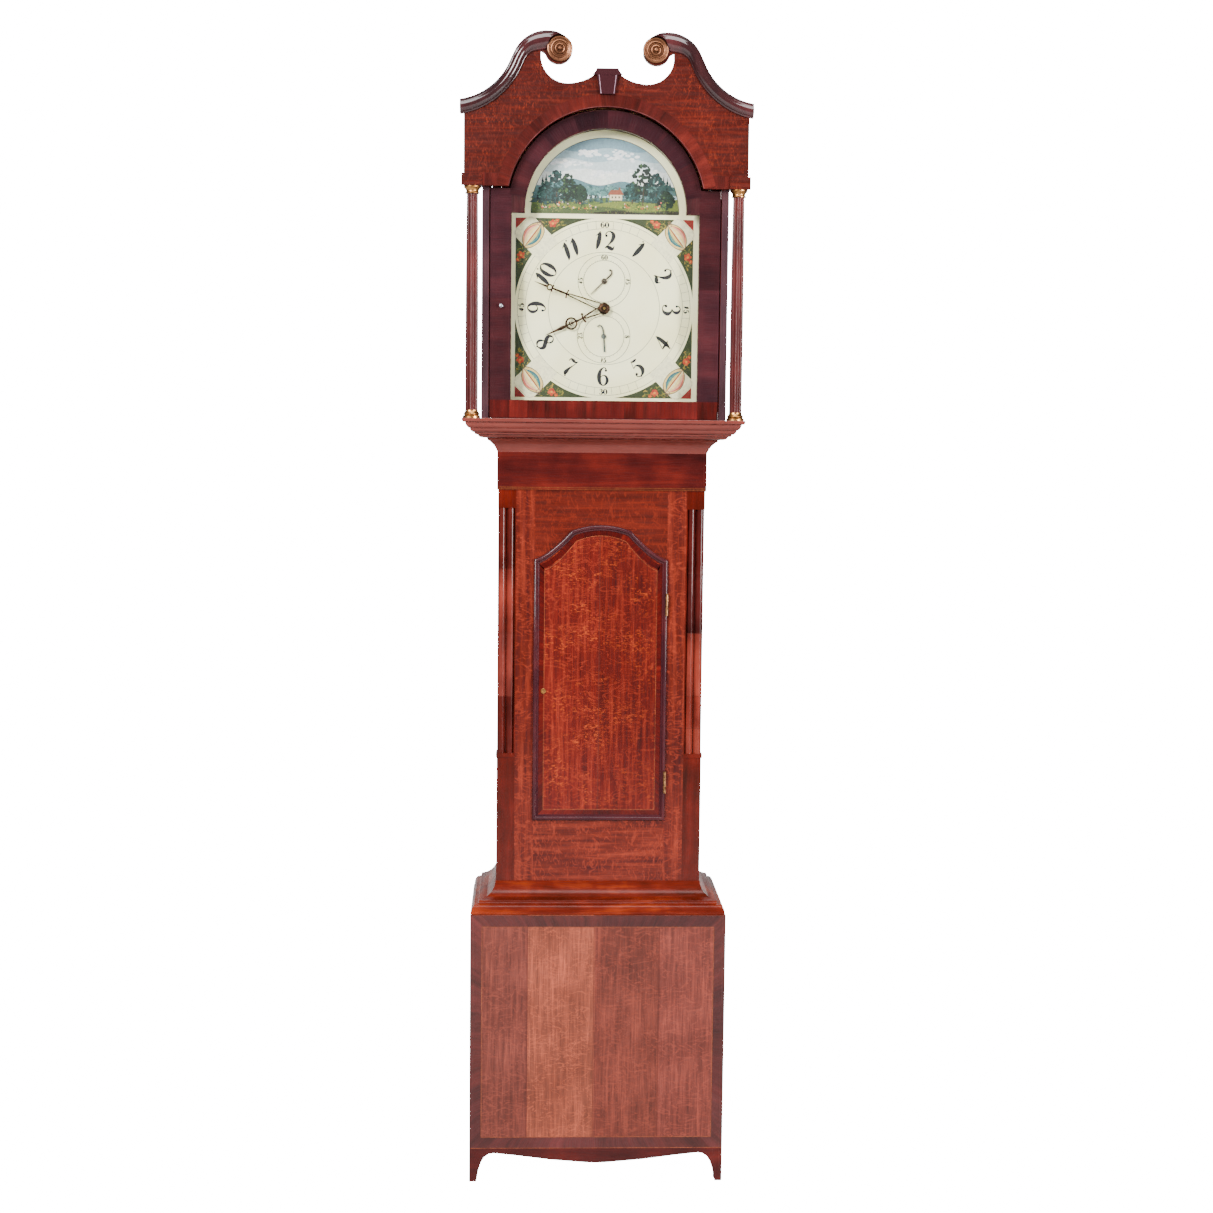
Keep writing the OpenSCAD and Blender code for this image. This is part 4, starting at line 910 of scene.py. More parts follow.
# numbers in a box 60 wide and 100 high, with thin hairlines and swelling middles, as a sign
# writer's brush leaves them: strokes of x, z, width, and round ends of x, z, radius
figures = {
    "0": ([[30, 100, 3, 10, 82, 11, 5, 50, 17, 11, 17, 10, 30, 0, 3, 50, 18, 11, 55, 50, 17,
            49, 83, 10, 30, 100, 3]], []),
    "1": ([[12, 76, 2, 24, 84, 5, 36, 100, 2],
           [37, 100, 3, 34, 80, 15, 27, 42, 19, 20, 14, 12, 13, 0, 2]], []),
    "2": ([[10, 74, 5, 13, 90, 4, 30, 100, 4, 49, 90, 12, 54, 72, 17, 46, 50, 13, 30, 30, 6,
            10, 8, 3],
           [6, 6, 3, 17, 14, 10, 32, 8, 16, 46, 2, 14, 55, 10, 5, 58, 20, 2]], [14, 75, 7]),
    "3": ([[10, 82, 4, 16, 95, 4, 30, 100, 5, 45, 90, 12, 48, 75, 13, 40, 60, 7, 27, 54, 3],
           [27, 54, 3, 44, 48, 8, 54, 30, 17, 46, 10, 12, 28, 0, 4, 10, 5, 4, 6, 20, 5]],
          [13, 80, 6.5, 11, 20, 7.5]),
    "4": ([[48, 100, 3, 30, 70, 3, 4, 30, 3], [4, 28, 3, 20, 30, 9, 40, 25, 8, 60, 30, 3],
           [47, 100, 3, 46, 75, 14, 40, 35, 17, 34, 10, 10, 27, 0, 2]], []),
    "5": ([[50, 98, 3, 38, 93, 10, 24, 92, 8, 15, 98, 2], [16, 97, 2.5, 14, 75, 2.5, 12, 55, 3],
           [12, 55, 3, 30, 64, 5, 48, 52, 13, 54, 30, 17, 45, 10, 12, 28, 0, 5, 10, 6, 4,
            7, 20, 5]], [12, 20, 7.5]),
    "6": ([[47, 86, 5, 42, 97, 4, 30, 100, 4, 13, 82, 12, 6, 48, 18, 12, 15, 12, 30, 0, 4,
            47, 12, 10, 53, 30, 13, 46, 50, 9, 30, 57, 4, 15, 46, 3]], [45, 84, 6.5]),
    "7": ([[8, 80, 3, 14, 95, 6, 28, 93, 13, 44, 90, 8, 57, 100, 2],
           [57, 100, 2, 42, 66, 4, 30, 40, 10, 24, 15, 17, 26, 0, 6]], [25, 7, 7.5]),
    "8": ([[50, 80, 8, 42, 95, 5, 28, 100, 4, 13, 88, 12, 17, 68, 17, 36, 48, 18, 52, 28, 16,
            46, 8, 9, 28, 0, 4, 10, 10, 9, 8, 28, 10, 22, 48, 4, 42, 62, 4, 50, 80, 8]], []),
    "9": ([[13, 14, 5, 18, 3, 4, 30, 0, 4, 47, 18, 12, 54, 52, 18, 48, 85, 12, 30, 100, 4,
            13, 88, 10, 7, 70, 13, 14, 50, 9, 30, 43, 4, 45, 54, 3]], [15, 16, 6.5]),
}


# writes a number at a place, its foot turned by "turn" degrees clockwise, with hairlines kept
# no finer than "least"
def writeNumber(layer, text, x, z, height, turn, colour, width=0.6, gap=0.06, least=0.8,
                weight=1.0):
    c, s = math.cos(math.radians(turn)), math.sin(math.radians(turn))
    narrow = [0.42 if digit == "1" else 0.6 for digit in text]
    start = -(sum(narrow) + gap * (len(text) - 1)) / 2
    for digit, step in zip(text, narrow):
        offset = start - (0.05 if digit == "1" else 0.0)

        def place(p):
            u = (p[:, 0] + offset) * height * width / 0.6
            v = (p[:, 1] - 0.5) * height
            return np.stack([x + u * c + v * s, z - u * s + v * c], -1)

        strokes, ends = figures[digit]
        for stroke in strokes:
            path = floats(stroke).reshape(-1, 3) / 100
            p = curveThrough(path, 9 * len(path) - 8)
            layer.stroke(place(p), np.maximum(np.abs(p[:, 2]) * height * weight, least), colour)
        for end in floats(ends).reshape(-1, 1, 3) / 100:
            layer.dot(*place(end)[0], end[0, 2] * height, colour)
        start += step + gap


dial = {"half": 165.0, "chapter": 158.5, "trackOut": 153.5, "trackIn": 140.0, "inner": 99.0,
        "hourR": 120.0, "minuteR": 146.8, "smallR": 42.0, "pictureR": 131.0, "archZ": 167.0,
        "seconds": {"z": 48.0, "out": 46.6, "in": 36.7, "tick": 39.2},
        "date": {"z": -49.0, "out": 47.0, "in": 36.2, "tick": 38.8}}
circle = np.radians(np.arange(0, 360, 2))
lines, grey = PaintLayer(0.22), "#181712"
rings = [(dial["trackOut"], 0, 0.55), (dial["trackIn"], 0, 0.5), (dial["inner"], 0, 0.6)]
rings += [(dial[name][edge], dial[name]["z"], 0.7) for name in ("seconds", "date")
          for edge in ("out", "in")]
for r, z, width in rings:
    lines.stroke(np.stack([r * np.sin(circle), z + r * np.cos(circle)], -1), width, grey,
                 closed=True)


# short radial line of a track
def tick(turn, low, high, width, z=0):
    u = np.array([math.sin(turn), math.cos(turn)])
    lines.stroke([u * low + [0, z], u * high + [0, z]], width, grey)


def smallTick(turn, name):
    tick(turn, dial[name]["in"], dial[name]["tick"], 0.4, dial[name]["z"])


for i in range(60):
    turn = math.radians(i * 6)
    if i % 5:
        tick(turn, dial["trackIn"], dial["trackOut"], 0.42)
        if i % 15 not in (1, 14):
            smallTick(turn, "seconds")
    elif i % 15:
        lines.dot(136.6 * math.sin(turn), 136.6 * math.cos(turn), 1.5, "#4A473F")
for i in range(31):
    smallTick(math.radians(i * 360 / 31), "date")
lines.lay("dialTracks", paints["lines"])

numbers = PaintLayer(0.32)
for hour in range(1, 13):
    u, v = math.sin(math.radians(hour * 30)), math.cos(math.radians(hour * 30))
    turn = hour * 30 + (180 if 3 < hour < 9 else 0)
    writeNumber(numbers, str(hour), dial["hourR"] * u, dial["hourR"] * v, 31.5, turn, "#0A0A08",
                gap=0.1, weight=1.3)
# the lowest number of each small circle stands upright
small = {"colour": "#16150F", "gap": 0.16, "weight": 1.8}
for minute, date, angle, turn in (("60", "31", 0, 0), ("15", "8", 90, 90), ("30", "15", 180, 0),
                                  ("45", "23", 270, 270)):
    u, v = math.sin(math.radians(angle)), math.cos(math.radians(angle))
    writeNumber(numbers, minute, dial["minuteR"] * u, dial["minuteR"] * v, 9.4, turn, "#12110D",
                least=0.95, width=0.66, gap=0.14, weight=1.9)
    for text, name in ((minute, "seconds"), (date, "date")):
        writeNumber(numbers, text, dial["smallR"] * u, dial[name]["z"] + dial["smallR"] * v, 7.6,
                    turn, **small)
numbers.lay("dialNumbers", paints["ink"])
print("stage: dial written")


cornerPlan = {"leaves": 260, "specks": 26, "fieldHalf": 24.0, "fieldIn": 140.0, "fieldOut": 209.0,
              "red": 36, "shellR": 180, "shellLean": 8, "shellSize": 1.3, "scales": 34,
              "greens": ["#1C2C10", "#2C3A12", "#5E6420", "#7E7628", "#9C8432", "#3F4C1A"],
              "petals": ["#B83A14", "#CC5420", "#A02C12"],
              "flowers": [(92.0, 148.0, 7.0), (148.0, 92.0, 7.0), (84, 153.5, 3.5),
                          (153.5, 84, 3.5)],
              # colour, height, share of the shell's length and width of each rib
              "ribs": [("#C2604E", 10.6, 0.9, 3.2), ("#DE9C80", 8.0, 0.95, 3.2),
                       ("#E8CB84", 5.0, 1.0, 3.2), ("#EAD9A2", 2.0, 1.0, 3.2),
                       ("#8E1C12", -0.6, 1.02, 2.0), ("#D2B564", -3.2, 1.0, 3.2),
                       ("#4F8474", -6.0, 0.95, 3.2), ("#1F6068", -8.6, 0.88, 3.2)]}


# corner painting: foliage ground with red flowers, a red corner, and a shell on a cream field
def cornerPainting(layer, sx, sz):
    flip = np.array([sx, sz])
    edge, r = dial["half"] - 7.5, dial["chapter"] + 0.2
    start = math.degrees(math.acos(edge / r))
    bend = arcPoints(0, 0, r, start, 90 - start, 30)
    layer.shape(np.vstack([bend, [(bend[-1, 0], edge), (edge, edge), (edge, bend[0, 1])]]) * flip,
                "#2E3814")
    inside = lambda p: np.hypot(*p) > r + 1.5 and max(p) < edge - 1.0
    # strokes of foliage in greens and gold
    made = 0
    while made < cornerPlan["leaves"]:
        p = rng.uniform(70, edge, 2)
        if not inside(p) or abs(p[0] - p[1]) < 24 and p.sum() > 190 and rng.random() < 0.75:
            continue
        a, length = rng.uniform(0, 2 * math.pi), rng.uniform(2.0, 4.2)
        d = np.array([math.cos(a), math.sin(a)]) * length
        across = np.array([-d[1], d[0]]) * rng.uniform(0.22, 0.4)
        leaf = np.array([p - d, p + across, p + d, p - across])
        if all(inside(q) for q in leaf):
            layer.shape(leaf * flip, rng.choice(cornerPlan["greens"]), 0.03 + 0.0002 * made)
            made += 1
    # flowers of five petals on each arm
    for fx, fz, size in cornerPlan["flowers"]:
        for k in range(5):
            a = math.radians(k * 72 + fx)
            x, z = fx + size * 0.55 * math.cos(a), fz + size * 0.55 * math.sin(a)
            if max(x, z) + size * 0.4 < edge + 1 and math.hypot(x, z) - size * 0.4 > r - 1:
                layer.dot(x * sx, z * sz, size * 0.5, cornerPlan["petals"][k % 3],
                          0.1 + 0.004 * k, 0.75, math.degrees(a) * sx, 10)
        layer.dot(fx * sx, fz * sz, size * 0.3, "#D08A30", 0.13)
    # red triangle in the corner, with dark specks
    red = edge - cornerPlan["red"]
    layer.shape(np.array([(edge, edge), (edge, red), (red, edge)]) * flip, "#8E2214", 0.15)
    for speck in range(cornerPlan["specks"]):
        u, v = rng.random(2)
        if u + v <= 0.9:
            layer.dot((edge - 2 - 24 * u) * sx, (edge - 2 - 24 * v) * sz, rng.uniform(0.5, 1.1),
                      rng.choice(["#5C2414", "#D86A32", "#3E2A12"]), 0.16 + 0.0005 * speck, 0.7,
                      rng.uniform(0, 180), 8)
    # cream field on the diagonal, its outer end rounded at the corners
    half, near, far = (cornerPlan[k] for k in ("fieldHalf", "fieldIn", "fieldOut"))
    rounded = [(near, half), (far - 9, half), (far - 5, half - 1.5), (far - 1.5, half - 5),
               (far, half - 10)]
    field = floats([(x, -z) for x, z in rounded] + rounded[::-1])
    diagonal = lambda a, b: np.stack([a - b, a + b], -1) * math.sqrt(0.5)
    layer.shape(diagonal(*field.T) * flip, "#F1ECBE", 0.19)
    inner = field[1:-1] * [1, 0.93] - [1.6, 0]
    layer.stroke(diagonal(*inner.T) * flip, 0.5, "#B9A77C", 0.2)
    # shell, leaning a little: ribs that fan out of its hinge, and a dark red lip
    lean = math.radians(cornerPlan["shellLean"])

    def shell(points):
        u, v = floats(points).T * cornerPlan["shellSize"]
        return diagonal(cornerPlan["shellR"] + u * math.sin(lean) + v * math.cos(lean),
                        u * math.cos(lean) - v * math.sin(lean)) * flip

    body = curveThrough([(-19, -2), (-12, 8), (0, 12), (12, 9), (19, 1), (13, -9), (0, -12),
                         (-12, -9)], 48, closed=True)
    layer.shape(shell(body * 1.07), "#5A4632", 0.225)
    layer.shape(shell(body), "#DDBE72", 0.23)
    for k, (colour, v, reach, width) in enumerate(cornerPlan["ribs"]):
        x = np.linspace(-18.5, 18.5, 17) * reach
        bow = v * (1 - (x / (20.5 * reach)) ** 2)
        layer.stroke(shell(np.stack([x, bow], -1)), width * (1 - 0.75 * (x / (19 * reach)) ** 2),
                     colour, 0.25 + 0.006 * k)
    for k in range(cornerPlan["scales"]):
        x = rng.uniform(-13, 13)
        v = rng.uniform(-9.5, -4.5) * (1 - (x / 20) ** 2)
        layer.stroke(shell([(x, v - 0.9), (x + 0.7, v + 0.9)]), 0.5, "#1F5A66", 0.31)
    # scrolled tip
    turns = np.linspace(0, 2.6 * math.pi, 30)
    coil = 4.2 * (1 - turns / 11)
    curl = np.stack([18.5 + coil * np.cos(turns), 2 + coil * np.sin(turns)], -1)
    layer.stroke(shell(curl), 1.0, "#4C3A34", 0.32)
    layer.stroke(shell(curl * 0.98 + 0.3), 0.5, "#8A6A5A", 0.33)


corners = PaintLayer(0.12)
for sx in (-1, 1):
    for sz in (-1, 1):
        cornerPainting(corners, sx, sz)
corners.lay("dialCornerPainting", paints["art"])
print("stage: dial corners painted")


farGreen = ("#3A5C58", "#55807A", "#7AA099")
blueGreen = ("#122624", "#22443F", "#47736B")
deepGreen = ("#0E1C12", "#1B321F", "#3E5A2E")
landscape = {
    "sky": ["#E4E6DA", "#D9DFD8", "#BCCACA", "#96AEB4", "#728F99"],
    "cloud": ["#F2F0E8", "#E6E8E4", "#DDE1E2"],
    # middle x, z and size of the clouds and of the bushes on the near bank
    "clouds": [(-58, 252, 26), (18, 268, 30), (74, 240, 24), (-8, 236, 24), (-30, 272, 18)],
    "bushes": [(-108, 170, 11), (-78, 171, 13), (-52, 169, 9), (-26, 170, 11), (36, 171, 10),
               (64, 170, 13), (96, 169.5, 12)],
    "leaf": ["#26401C", "#37561F", "#5E7428", "#8C8E38"],
    "flower": ["#E2B73C", "#D9705A", "#E8C9B4", "#C8402A"],
    "grass": ["#8E9440", "#6C7830", "#4C5C26", "#33431C", "#A29C50", "#5C4A24"],
    # x, foot, height, spread, tones and lift of the near trees
    "trees": [(-104, 176, 40, 15, blueGreen, 0.14), (-86, 178, 66, 17, blueGreen, 0.165),
              (-66, 179, 54, 15, deepGreen, 0.19), (-46, 182, 34, 13, deepGreen, 0.215),
              (48, 184, 38, 13, blueGreen, 0.2), (67, 180, 74, 20, deepGreen, 0.225),
              (90, 177, 60, 18, blueGreen, 0.25), (108, 171, 34, 14, deepGreen, 0.275)],
    "ripples": 30, "blades": 420, "firs": 34,
}


# picture in the arch: hills and a lake behind trees, a cottage and flowering bushes, painted
# from back to front
def archPicture(layer):
    r, low, cz = dial["pictureR"], dial["half"] + 1.0, dial["archZ"]
    start = math.degrees(math.asin((low - cz) / r))
    rim = arcPoints(0, cz, r, start, 180 - start, 90)
    top = lambda x: cz + np.sqrt(np.maximum(r * r - x * x, 0.0))

    # the part between two lines that lies in the arch
    def band(upper, lower, colour, lift, left=-r):
        x = np.linspace(max(left, -r + 0.05), r - 0.05, 90)
        high = np.minimum(upper(x), top(x))
        foot = np.maximum(np.minimum(lower(x), top(x)), low)
        keep = high > foot + 0.05
        x, high, foot = x[keep], high[keep], foot[keep]
        if len(x) > 1:
            layer.shape(np.vstack([np.stack([x, foot], -1), np.stack([x, high], -1)[::-1]]),
                        colour, lift)

    level = lambda z: lambda x: z + 0 * x
    wave = lambda z, high, length, phase=0.0, slope=0.0: (
        lambda x: z + high * np.sin(x / length + phase) + slope * x)
    hill = lambda x, high, middle, width: high * np.exp(-((x - middle) / width) ** 2)
    layer.shape(rim, "#EAE8DA")
    # sky in soft bands, bluer at the top
    for k, colour in enumerate(landscape["sky"]):
        band(level(400), wave(205 + 18 * k, 3.5, 17, k * 1.9), colour, 0.01 + 0.004 * k)
    # clouds of many soft daubs
    for cloudX, cloudZ, size in landscape["clouds"]:
        for k in range(26):
            u, v = rng.normal(0, 0.55, 2)
            x, z = cloudX + u * size, cloudZ + v * size * 0.28
            if z < top(x) - 6 and abs(x) < 118:
                layer.dot(x, z, rng.uniform(2.5, 5.5), rng.choice(landscape["cloud"]),
                          0.04 + 0.0004 * k, 0.5, 0, 12)
    # far hills, water and shores
    band(lambda x: 214 + hill(x, 13, -60, 30) + hill(x, 9, 30, 26), level(196), "#54767A", 0.06)
    band(lambda x: 207 + hill(x, 9, 85, 34) + 4 * np.sin(x / 15), level(194), "#4A6A60", 0.065)
    band(level(199), level(184), "#B9CBCB", 0.07)
    for k in range(landscape["ripples"]):
        x, z = rng.uniform(-95, 60), rng.uniform(186, 198)
        layer.stroke([(x, z), (x + rng.uniform(6, 16), z)], 0.5, rng.choice(["#9DB7BE", "#D5DEDA"]),
                     0.075)
    band(wave(191, 4.0, 27, 1.1, -0.03), level(160), "#54692C", 0.08)
    band(wave(184, 3.0, 19, 0.4, 0.05), level(160), "#6E7A30", 0.085)
    band(wave(176, 2.5, 23, 2.0, -0.04), level(160), "#46552A", 0.09)
    band(wave(170.5, 2.0, 14), level(160), "#262414", 0.095, left=-20)
    # grass in short strokes
    for k in range(landscape["blades"]):
        x, z = rng.uniform(-126, 126), rng.uniform(167, 187)
        if z > top(x) - 4:
            continue
        colour = rng.choice(landscape["grass"])
        layer.stroke([(x, z), (x + rng.uniform(-0.8, 0.8), z + rng.uniform(1.4, 3.2))], 0.6, colour,
                     0.1 + 0.00005 * k)

    # a tree: trunk, dark crown, then lighter daubs towards the left, where the light falls
    def tree(x, z, height, spread, tones, lift, daubs=120):
        layer.stroke([(x, z), (x + 0.6, z + height * 0.5)], (2.6, 1.4), "#3E2E20", lift)
        for k in range(daubs):
            a, q = rng.uniform(0, 2 * math.pi), math.sqrt(rng.uniform(0, 1))
            u, v = q * math.cos(a), q * math.sin(a)
            px, pz = x + u * spread * (1 - 0.25 * v), z + height * 0.58 + v * height * 0.42
            dark = k < daubs * 0.5
            size = rng.uniform(2.6, 4.6) if dark else rng.uniform(1.4, 2.8)
            if pz > top(px) - 6 or abs(px) > 122:
                continue
            tone = tones[0 if dark else 1 if u > -0.1 or k % 3 else 2]
            layer.dot(px, pz, size, tone, lift + 0.001 + 0.0002 * k, 0.72, rng.uniform(0, 180), 9)

    # a fir: seven ragged triangles, each narrower than the one below
    def fir(x, z, height, tones, lift):
        for k in range(7):
            half = height * 0.24 * (1 - k / 7) + 1.2
            base = z + height * k / 7 * 0.9
            sway = rng.uniform(-1.2, 1.2)
            if base + height * 0.3 > top(x) - 3:
                break
            layer.shape([(x - half, base), (x + half, base - 0.8),
                         (x + half * 0.3, base + height * 0.1),
                         (x + sway * 0.3, base + height * 0.28),
                         (x - half * 0.35, base + height * 0.12)], tones[k % 3], lift + 0.0004 * k)

    # firs stand taller and darker towards the sides
    for k in range(landscape["firs"]):
        x = -118 + 7.1 * k + rng.uniform(-2, 2)
        fir(x, 185 + 3 * math.sin(k),
            (16 + 34 * (abs(x) / 118) ** 1.6) * rng.uniform(0.85, 1.15),
            ("#1E3230", "#2C4640", "#38584E") if k % 3 else ("#2E4A4A", "#3E5E5E", "#4E7070"),
            0.082 + 0.00005 * k)
    for k, x in enumerate(np.linspace(-62, 30, 9)):
        tree(x, 196, 15 + 5 * math.sin(k * 2.3), 8.5, farGreen, 0.1 + 0.003 * k, 40)
    for near in landscape["trees"]:
        tree(*near)
    # cottage on the far shore: wall, roof, chimney and windows
    layer.shape([(8, 190), (30, 190), (30, 200), (8, 200)], "#D9C9A2", 0.3)
    layer.shape([(5, 199.5), (33, 199.5), (28, 208), (10, 208)], "#8A4A30", 0.302)
    layer.shape([(24, 207), (27, 207), (27, 212.5), (24, 212.5)], "#7A4632", 0.303)
    for x in (11.5, 17.5, 23.5):
        layer.shape([(x, 193.5), (x + 2.6, 193.5), (x + 2.6, 197), (x, 197)], "#4E4A3C", 0.304)
    # bushes with yellow, pink and red flowers along the near bank
    for bx, bz, size in landscape["bushes"]:
        for k in range(46):
            u, v = rng.normal(0, 0.5, 2)
            x, z = bx + u * size, bz + 4 + abs(v) * size * 0.75
            if z > top(x) - 4 or z < 167.5 or abs(x) > 124:
                continue
            colour = rng.choice(landscape["leaf"])
            layer.dot(x, z, rng.uniform(1.1, 2.4), colour, 0.32 + 0.0003 * k, 0.6,
                      rng.uniform(0, 180), 8)
        for k in range(9):
            u, v = rng.normal(0, 0.5, 2)
            x, z = bx + u * size, bz + 5 + abs(v) * size * 0.7
            if z <= top(x) - 5 and abs(x) <= 122:
                layer.dot(x, z, rng.uniform(0.9, 1.6), rng.choice(landscape["flower"]), 0.35,
                          0.85, 0, 8)
    layer.stroke(rim, 0.9, "#2E2C22", 0.5)
    layer.stroke([(-r, low), (r, low)], 0.9, "#2E2C22", 0.5)


picture = PaintLayer(0.12)
archPicture(picture)
picture.lay("dialArchPicture", paints["art"])
print("stage: arch painted")


# turns points of a hand's own plane clockwise and sets them round the hand's arbor
def turnHand(xz, hand):
    c, s = math.cos(math.radians(hand["spin"])), math.sin(math.radians(hand["spin"]))
    return np.stack([xz[..., 0] * c + xz[..., 1] * s,
                     -xz[..., 0] * s + xz[..., 1] * c + hand["z"] + plan["dialZ"]], -1)


# filed bar of a hand: an oval section carried along a path, with closed ends
def handBar(path, widths, hand):
    path = floats(path)
    front, depth = plan["dial"] - hand["front"], hand["thick"] / 2
    a = np.linspace(0, 2 * math.pi, 10, endpoint=False)
    half = np.broadcast_to(floats(widths), (len(path),))[:, None] / 2 * np.cos(a)
    xz = turnHand(path[:, None] + mitres(path, False)[:, None] * half[..., None], hand)
    return atDepth(xz, front + depth - depth * np.sin(a)), tubeFaces(len(path), 10)


# round knob of a hand, in the same plane as its bars
def handKnob(x, z, r, hand):
    u, v = np.meshgrid(np.linspace(0, 2 * math.pi, 12, endpoint=False), np.linspace(-1.5, 1.5, 7))
    xz = np.stack([np.cos(u), np.sin(u)], -1) * r * np.cos(v)[..., None]
    y = plan["dial"] - hand["front"] + hand["thick"] * (0.5 - 0.55 * np.sin(v))
    return atDepth(xz + turnHand(floats([x, z]), hand), y), tubeFaces(7, 12)


# bars and knobs joined in one piece, with a turned boss over the arbor; paths are in the hand's
# own plane, pointing up, and each width stands for one point of its path
def handPiece(name, hand):
    meshes = [handBar(path, widths, hand) for path, widths in hand["bars"]]
    meshes += [handKnob(*knob, hand) for knob in hand["knobs"]]
    finish = metals[hand["metal"]], hand["body"], hand["slot"]
    piece = tidyNormals(makePiece(name, *joined(meshes), *finish))
    boss = [(0.0, -0.2)] + hand["boss"] + [(0.0, hand["boss"][-1][1])]
    lathe(name + "Boss", boss, (0, plan["dial"] - hand["front"] + hand["thick"],
                                hand["z"] + plan["dialZ"]), "y", *finish, 40)
    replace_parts(piece, hand["node"])


hands = {
    "hourHandCut": {
        "node": "hour_hand", "body": "hour_pipe", "slot": "brass", "metal": "handBrass",
        "spin": 244.8, "z": 0, "front": 7.9, "thick": 1.3,
        "bars": [([(-5.4, 8.5), (-3.9, 24), (-1.8, 38)], (2.0, 2.6, 2.1)),
                 ([(5.4, 8.5), (3.9, 24), (1.8, 38)], (2.0, 2.6, 2.1)),
                 ([(-6.8, 40.0), (0, 41.5), (6.8, 40.0)], (2.2, 3.4, 2.2)),
                 ([(0, 36), (0, 53.5)], (3.6, 3.2)),
                 (arcPoints(0, 63.8, 9.6, -62, 90, 24), np.linspace(2.6, 4.0, 24)),
                 (arcPoints(0, 63.8, 9.6, 90, 242, 24), np.linspace(4.0, 2.6, 24)),
                 ([(0, 52), (-2.4, 55.2), (-5.0, 55.6)], (3.0, 2.4, 1.8)),
                 ([(0, 52), (2.4, 55.2), (5.0, 55.6)], (3.0, 2.4, 1.8)),
                 ([(0, 53), (0, 62)], (2.4, 3.6)),
                 ([(-4.2, 65.6), (0, 67.0), (4.2, 65.6)], (1.6, 2.6, 1.6)),
                 ([(0, 66), (0, 74)], (2.2, 3.4)),
                 ([(0, 72.5), (0, 78), (0, 84), (0, 92), (0, 104), (0, 114.5)],
                  (3.6, 5.4, 6.4, 4.0, 2.6, 0.8))],
        "knobs": [(-7.0, 40.0, 2.2), (7.0, 40.0, 2.2), (0, 62.6, 2.6), (-5.0, 55.6, 1.7),
                  (5.0, 55.6, 1.7)],
        "boss": [(10.4, 0.0), (10.4, 0.7), (9.4, 1.5), (7.4, 1.8), (6.8, 1.5)]},
    "minuteHandCut": {
        "node": "minute_hand", "body": "centre_arbor", "slot": "brass", "metal": "handBrass",
        "spin": 290.2, "z": 0, "front": 12.8, "thick": 1.2,
        "bars": [([(-6.0, 7.5), (-3.7, 40), (-1.4, 68)], (1.9, 2.3, 1.8)),
                 ([(6.0, 7.5), (3.7, 40), (1.4, 68)], (1.9, 2.3, 1.8)),
                 ([(-6.0, 70.2), (0, 71.2), (6.0, 70.2)], (1.8, 2.8, 1.8)),
                 ([(0, 66), (0, 82), (0, 98)], (3.0, 3.6, 2.8)),
                 (arcPoints(0, 103, 4.6, -90, 90, 14), 2.4),
                 (arcPoints(0, 103, 4.6, 90, 270, 14), 2.4),
                 ([(-4.6, 97.6), (0, 98.6), (4.6, 97.6)], (1.6, 2.2, 1.6)),
                 ([(0, 107), (0, 112), (0, 120), (0, 131.5)], (2.8, 3.8, 2.2, 0.7))],
        "knobs": [(-6.2, 70.0, 1.7), (6.2, 70.0, 1.7), (-4.8, 97.4, 1.4), (4.8, 97.4, 1.4)],
        "boss": [(8.9, 0.0), (8.9, 0.6), (7.6, 1.5), (5.2, 1.9), (3.4, 1.6)]},
    "secondsHandCut": {
        "node": "seconds_hand", "body": "escape_arbor", "slot": "steel", "metal": "handSteel",
        "spin": 225, "z": dial["seconds"]["z"], "front": 3.3, "thick": 0.9,
        "bars": [([(0, 4.5), (0, 20), (0, 33.5)], (2.4, 2.0, 1.0)),
                 ([(0, -4.5), (-0.4, -13), (0.6, -19), (4.0, -22.5), (6.5, -21.5)],
                  (2.2, 3.0, 2.6, 1.9, 1.4))],
        "knobs": [(6.6, -21.0, 1.9)],
        "boss": [(5.2, 0.0), (5.2, 0.4), (4.2, 1.1), (1.6, 1.2)]},
    "dateHandCut": {
        "node": "date_hand", "body": "date_arbor", "slot": "steel", "metal": "dateSteel",
        "spin": 176, "z": dial["date"]["z"], "front": 3.3, "thick": 0.9,
        "bars": [([(0, 3.5), (0, 16), (0, 27.8)], (2.6, 2.8, 3.2)),
                 ([(0, -3.5), (0.6, -12), (2.6, -18), (6.5, -20.5), (9.0, -18.8)],
                  (2.4, 2.6, 2.4, 1.8, 1.2))],
        "knobs": [(9.2, -18.4, 1.5)],
        "boss": [(4.6, 0.0), (4.6, 0.4), (3.8, 1.1), (1.4, 1.2)]},
}
for name, hand in hands.items():
    handPiece(name, hand)
print("stage: hands cut")


# plain boards, each given as its low and high x, y and z
def boxPiece(name, boxes, material, body, slot):
    quads = [[0, 2, 3, 1], [4, 5, 7, 6], [0, 1, 5, 4], [2, 6, 7, 3], [0, 4, 6, 2], [1, 3, 7, 5]]
    meshes = [(floats([(x, y, z) for z in box[4:] for y in box[2:4] for x in box[:2]]), quads)
              for box in boxes]
    makePiece(name, *joined(meshes), material, body, slot, smooth=False)


# boards nailed to the edges of the backboard inside the hood, so that no light shows round it
boxPiece("backboardEars", [(-202.8, -186.2, 119.4, 128.6, 1389.2, 1930),
                           (186.2, 202.8, 119.4, 128.6, 1389.2, 1930),
                           (-202.8, 202.8, 119.4, 128.6, 1930.1, 1934.6)],
         woods["pine"], "case", "pine")
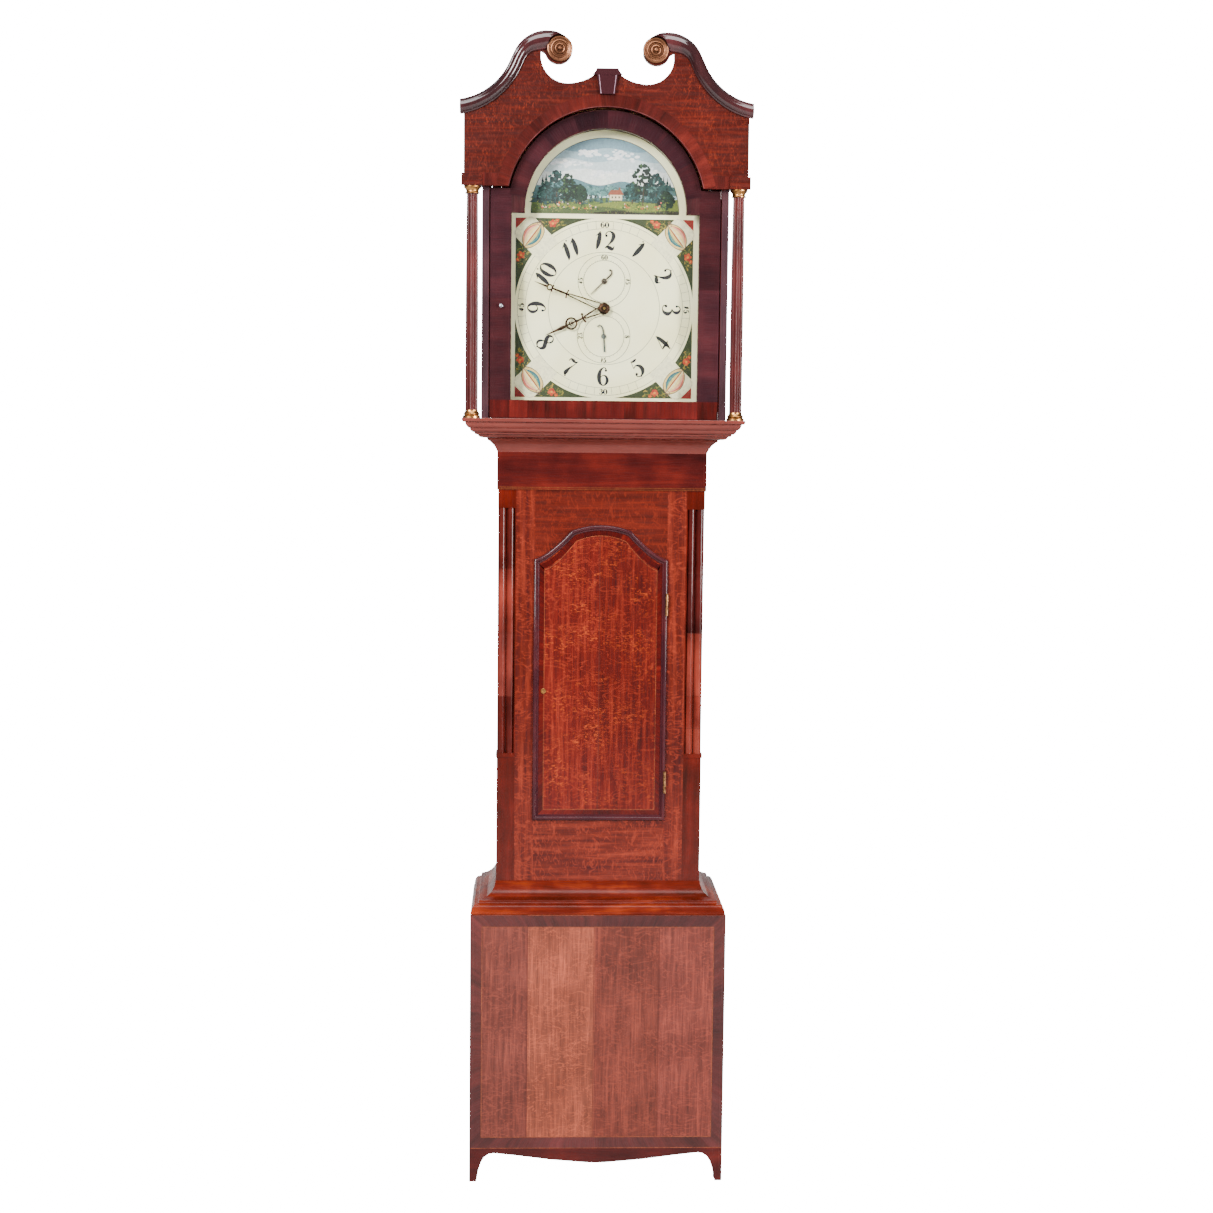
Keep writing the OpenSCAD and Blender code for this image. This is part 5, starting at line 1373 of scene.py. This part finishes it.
# thin mahogany facing that hides the pine of the blocks above the columns, seen from the sides
boxPiece("cornerBlockFacing", [(-245.3, -216.1, -106.95, -92.7, 1790.85, 1815.3),
                               (216.1, 245.3, -106.95, -92.7, 1790.85, 1815.3)],
         woods["mahogany"], "hood", "mahogany")
lathe("hoodDoorKnob", [(0, 0), (3.3, 0), (3.3, 0.7), (1.7, 1.3), (1.4, 2.8), (2.5, 4.0), (3.0, 5.2),
                       (2.4, 6.6), (0, 7.2)], (-182, plan["door"] - 0.35, 1585.7), "y",
      metals["steel"], "hood_door", "brass", 24)
lathe("doorEscutcheon", [(0, 0), (4.6, 0), (4.9, 0.4), (4.4, 0.9), (1.9, 1.0), (1.7, 0.3),
                         (0, 0.3)], (-102.2, -61.3, 898), "y", metals["brass"], "trunk_door",
      "brass", 32)

# drive rope: a loop hangs from each side of the rope pulleys, one round the weight's sheave and one
# through the ring
rope = {"radius": 2.0, "middle": 4.0, "half": 22.0, "top": 1544.6}


def ropeLoop(name, x, foot, turnRadius, node):
    down = np.linspace(1, 0, 48, endpoint=False)[:, None]
    left = down * [rope["middle"] - rope["half"], rope["top"]] + (1 - down) * [
        rope["middle"] - turnRadius, foot]
    bend = arcPoints(rope["middle"], foot, turnRadius, 180, 360, 21)
    path = np.vstack([left, bend, left[::-1] * [-1, 1] + [2 * rope["middle"], 0]])
    a = np.linspace(0, 2 * math.pi, 12, endpoint=False)
    yz = path[:, None] + rope["radius"] * mitres(path, False)[:, None] * np.cos(a)[:, None]
    points = np.stack([np.broadcast_to(x + rope["radius"] * np.sin(a), yz.shape[:2]), yz[..., 0],
                       yz[..., 1]], -1).reshape(-1, 3)
    piece = tidyNormals(makePiece(name, points, tubeFaces(len(path), 12), cord, None, "rope"), 60)
    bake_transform(piece)
    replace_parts(piece, node)


ropeLoop("weightRopeLoop", -24.0, 1200.0, 22.0, "weight_rope")
ropeLoop("ringRopeLoop", 24.0, 711.5, 8.3, "ring_rope")
print("stage: small fittings made")

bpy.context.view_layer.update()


print("stage: done")
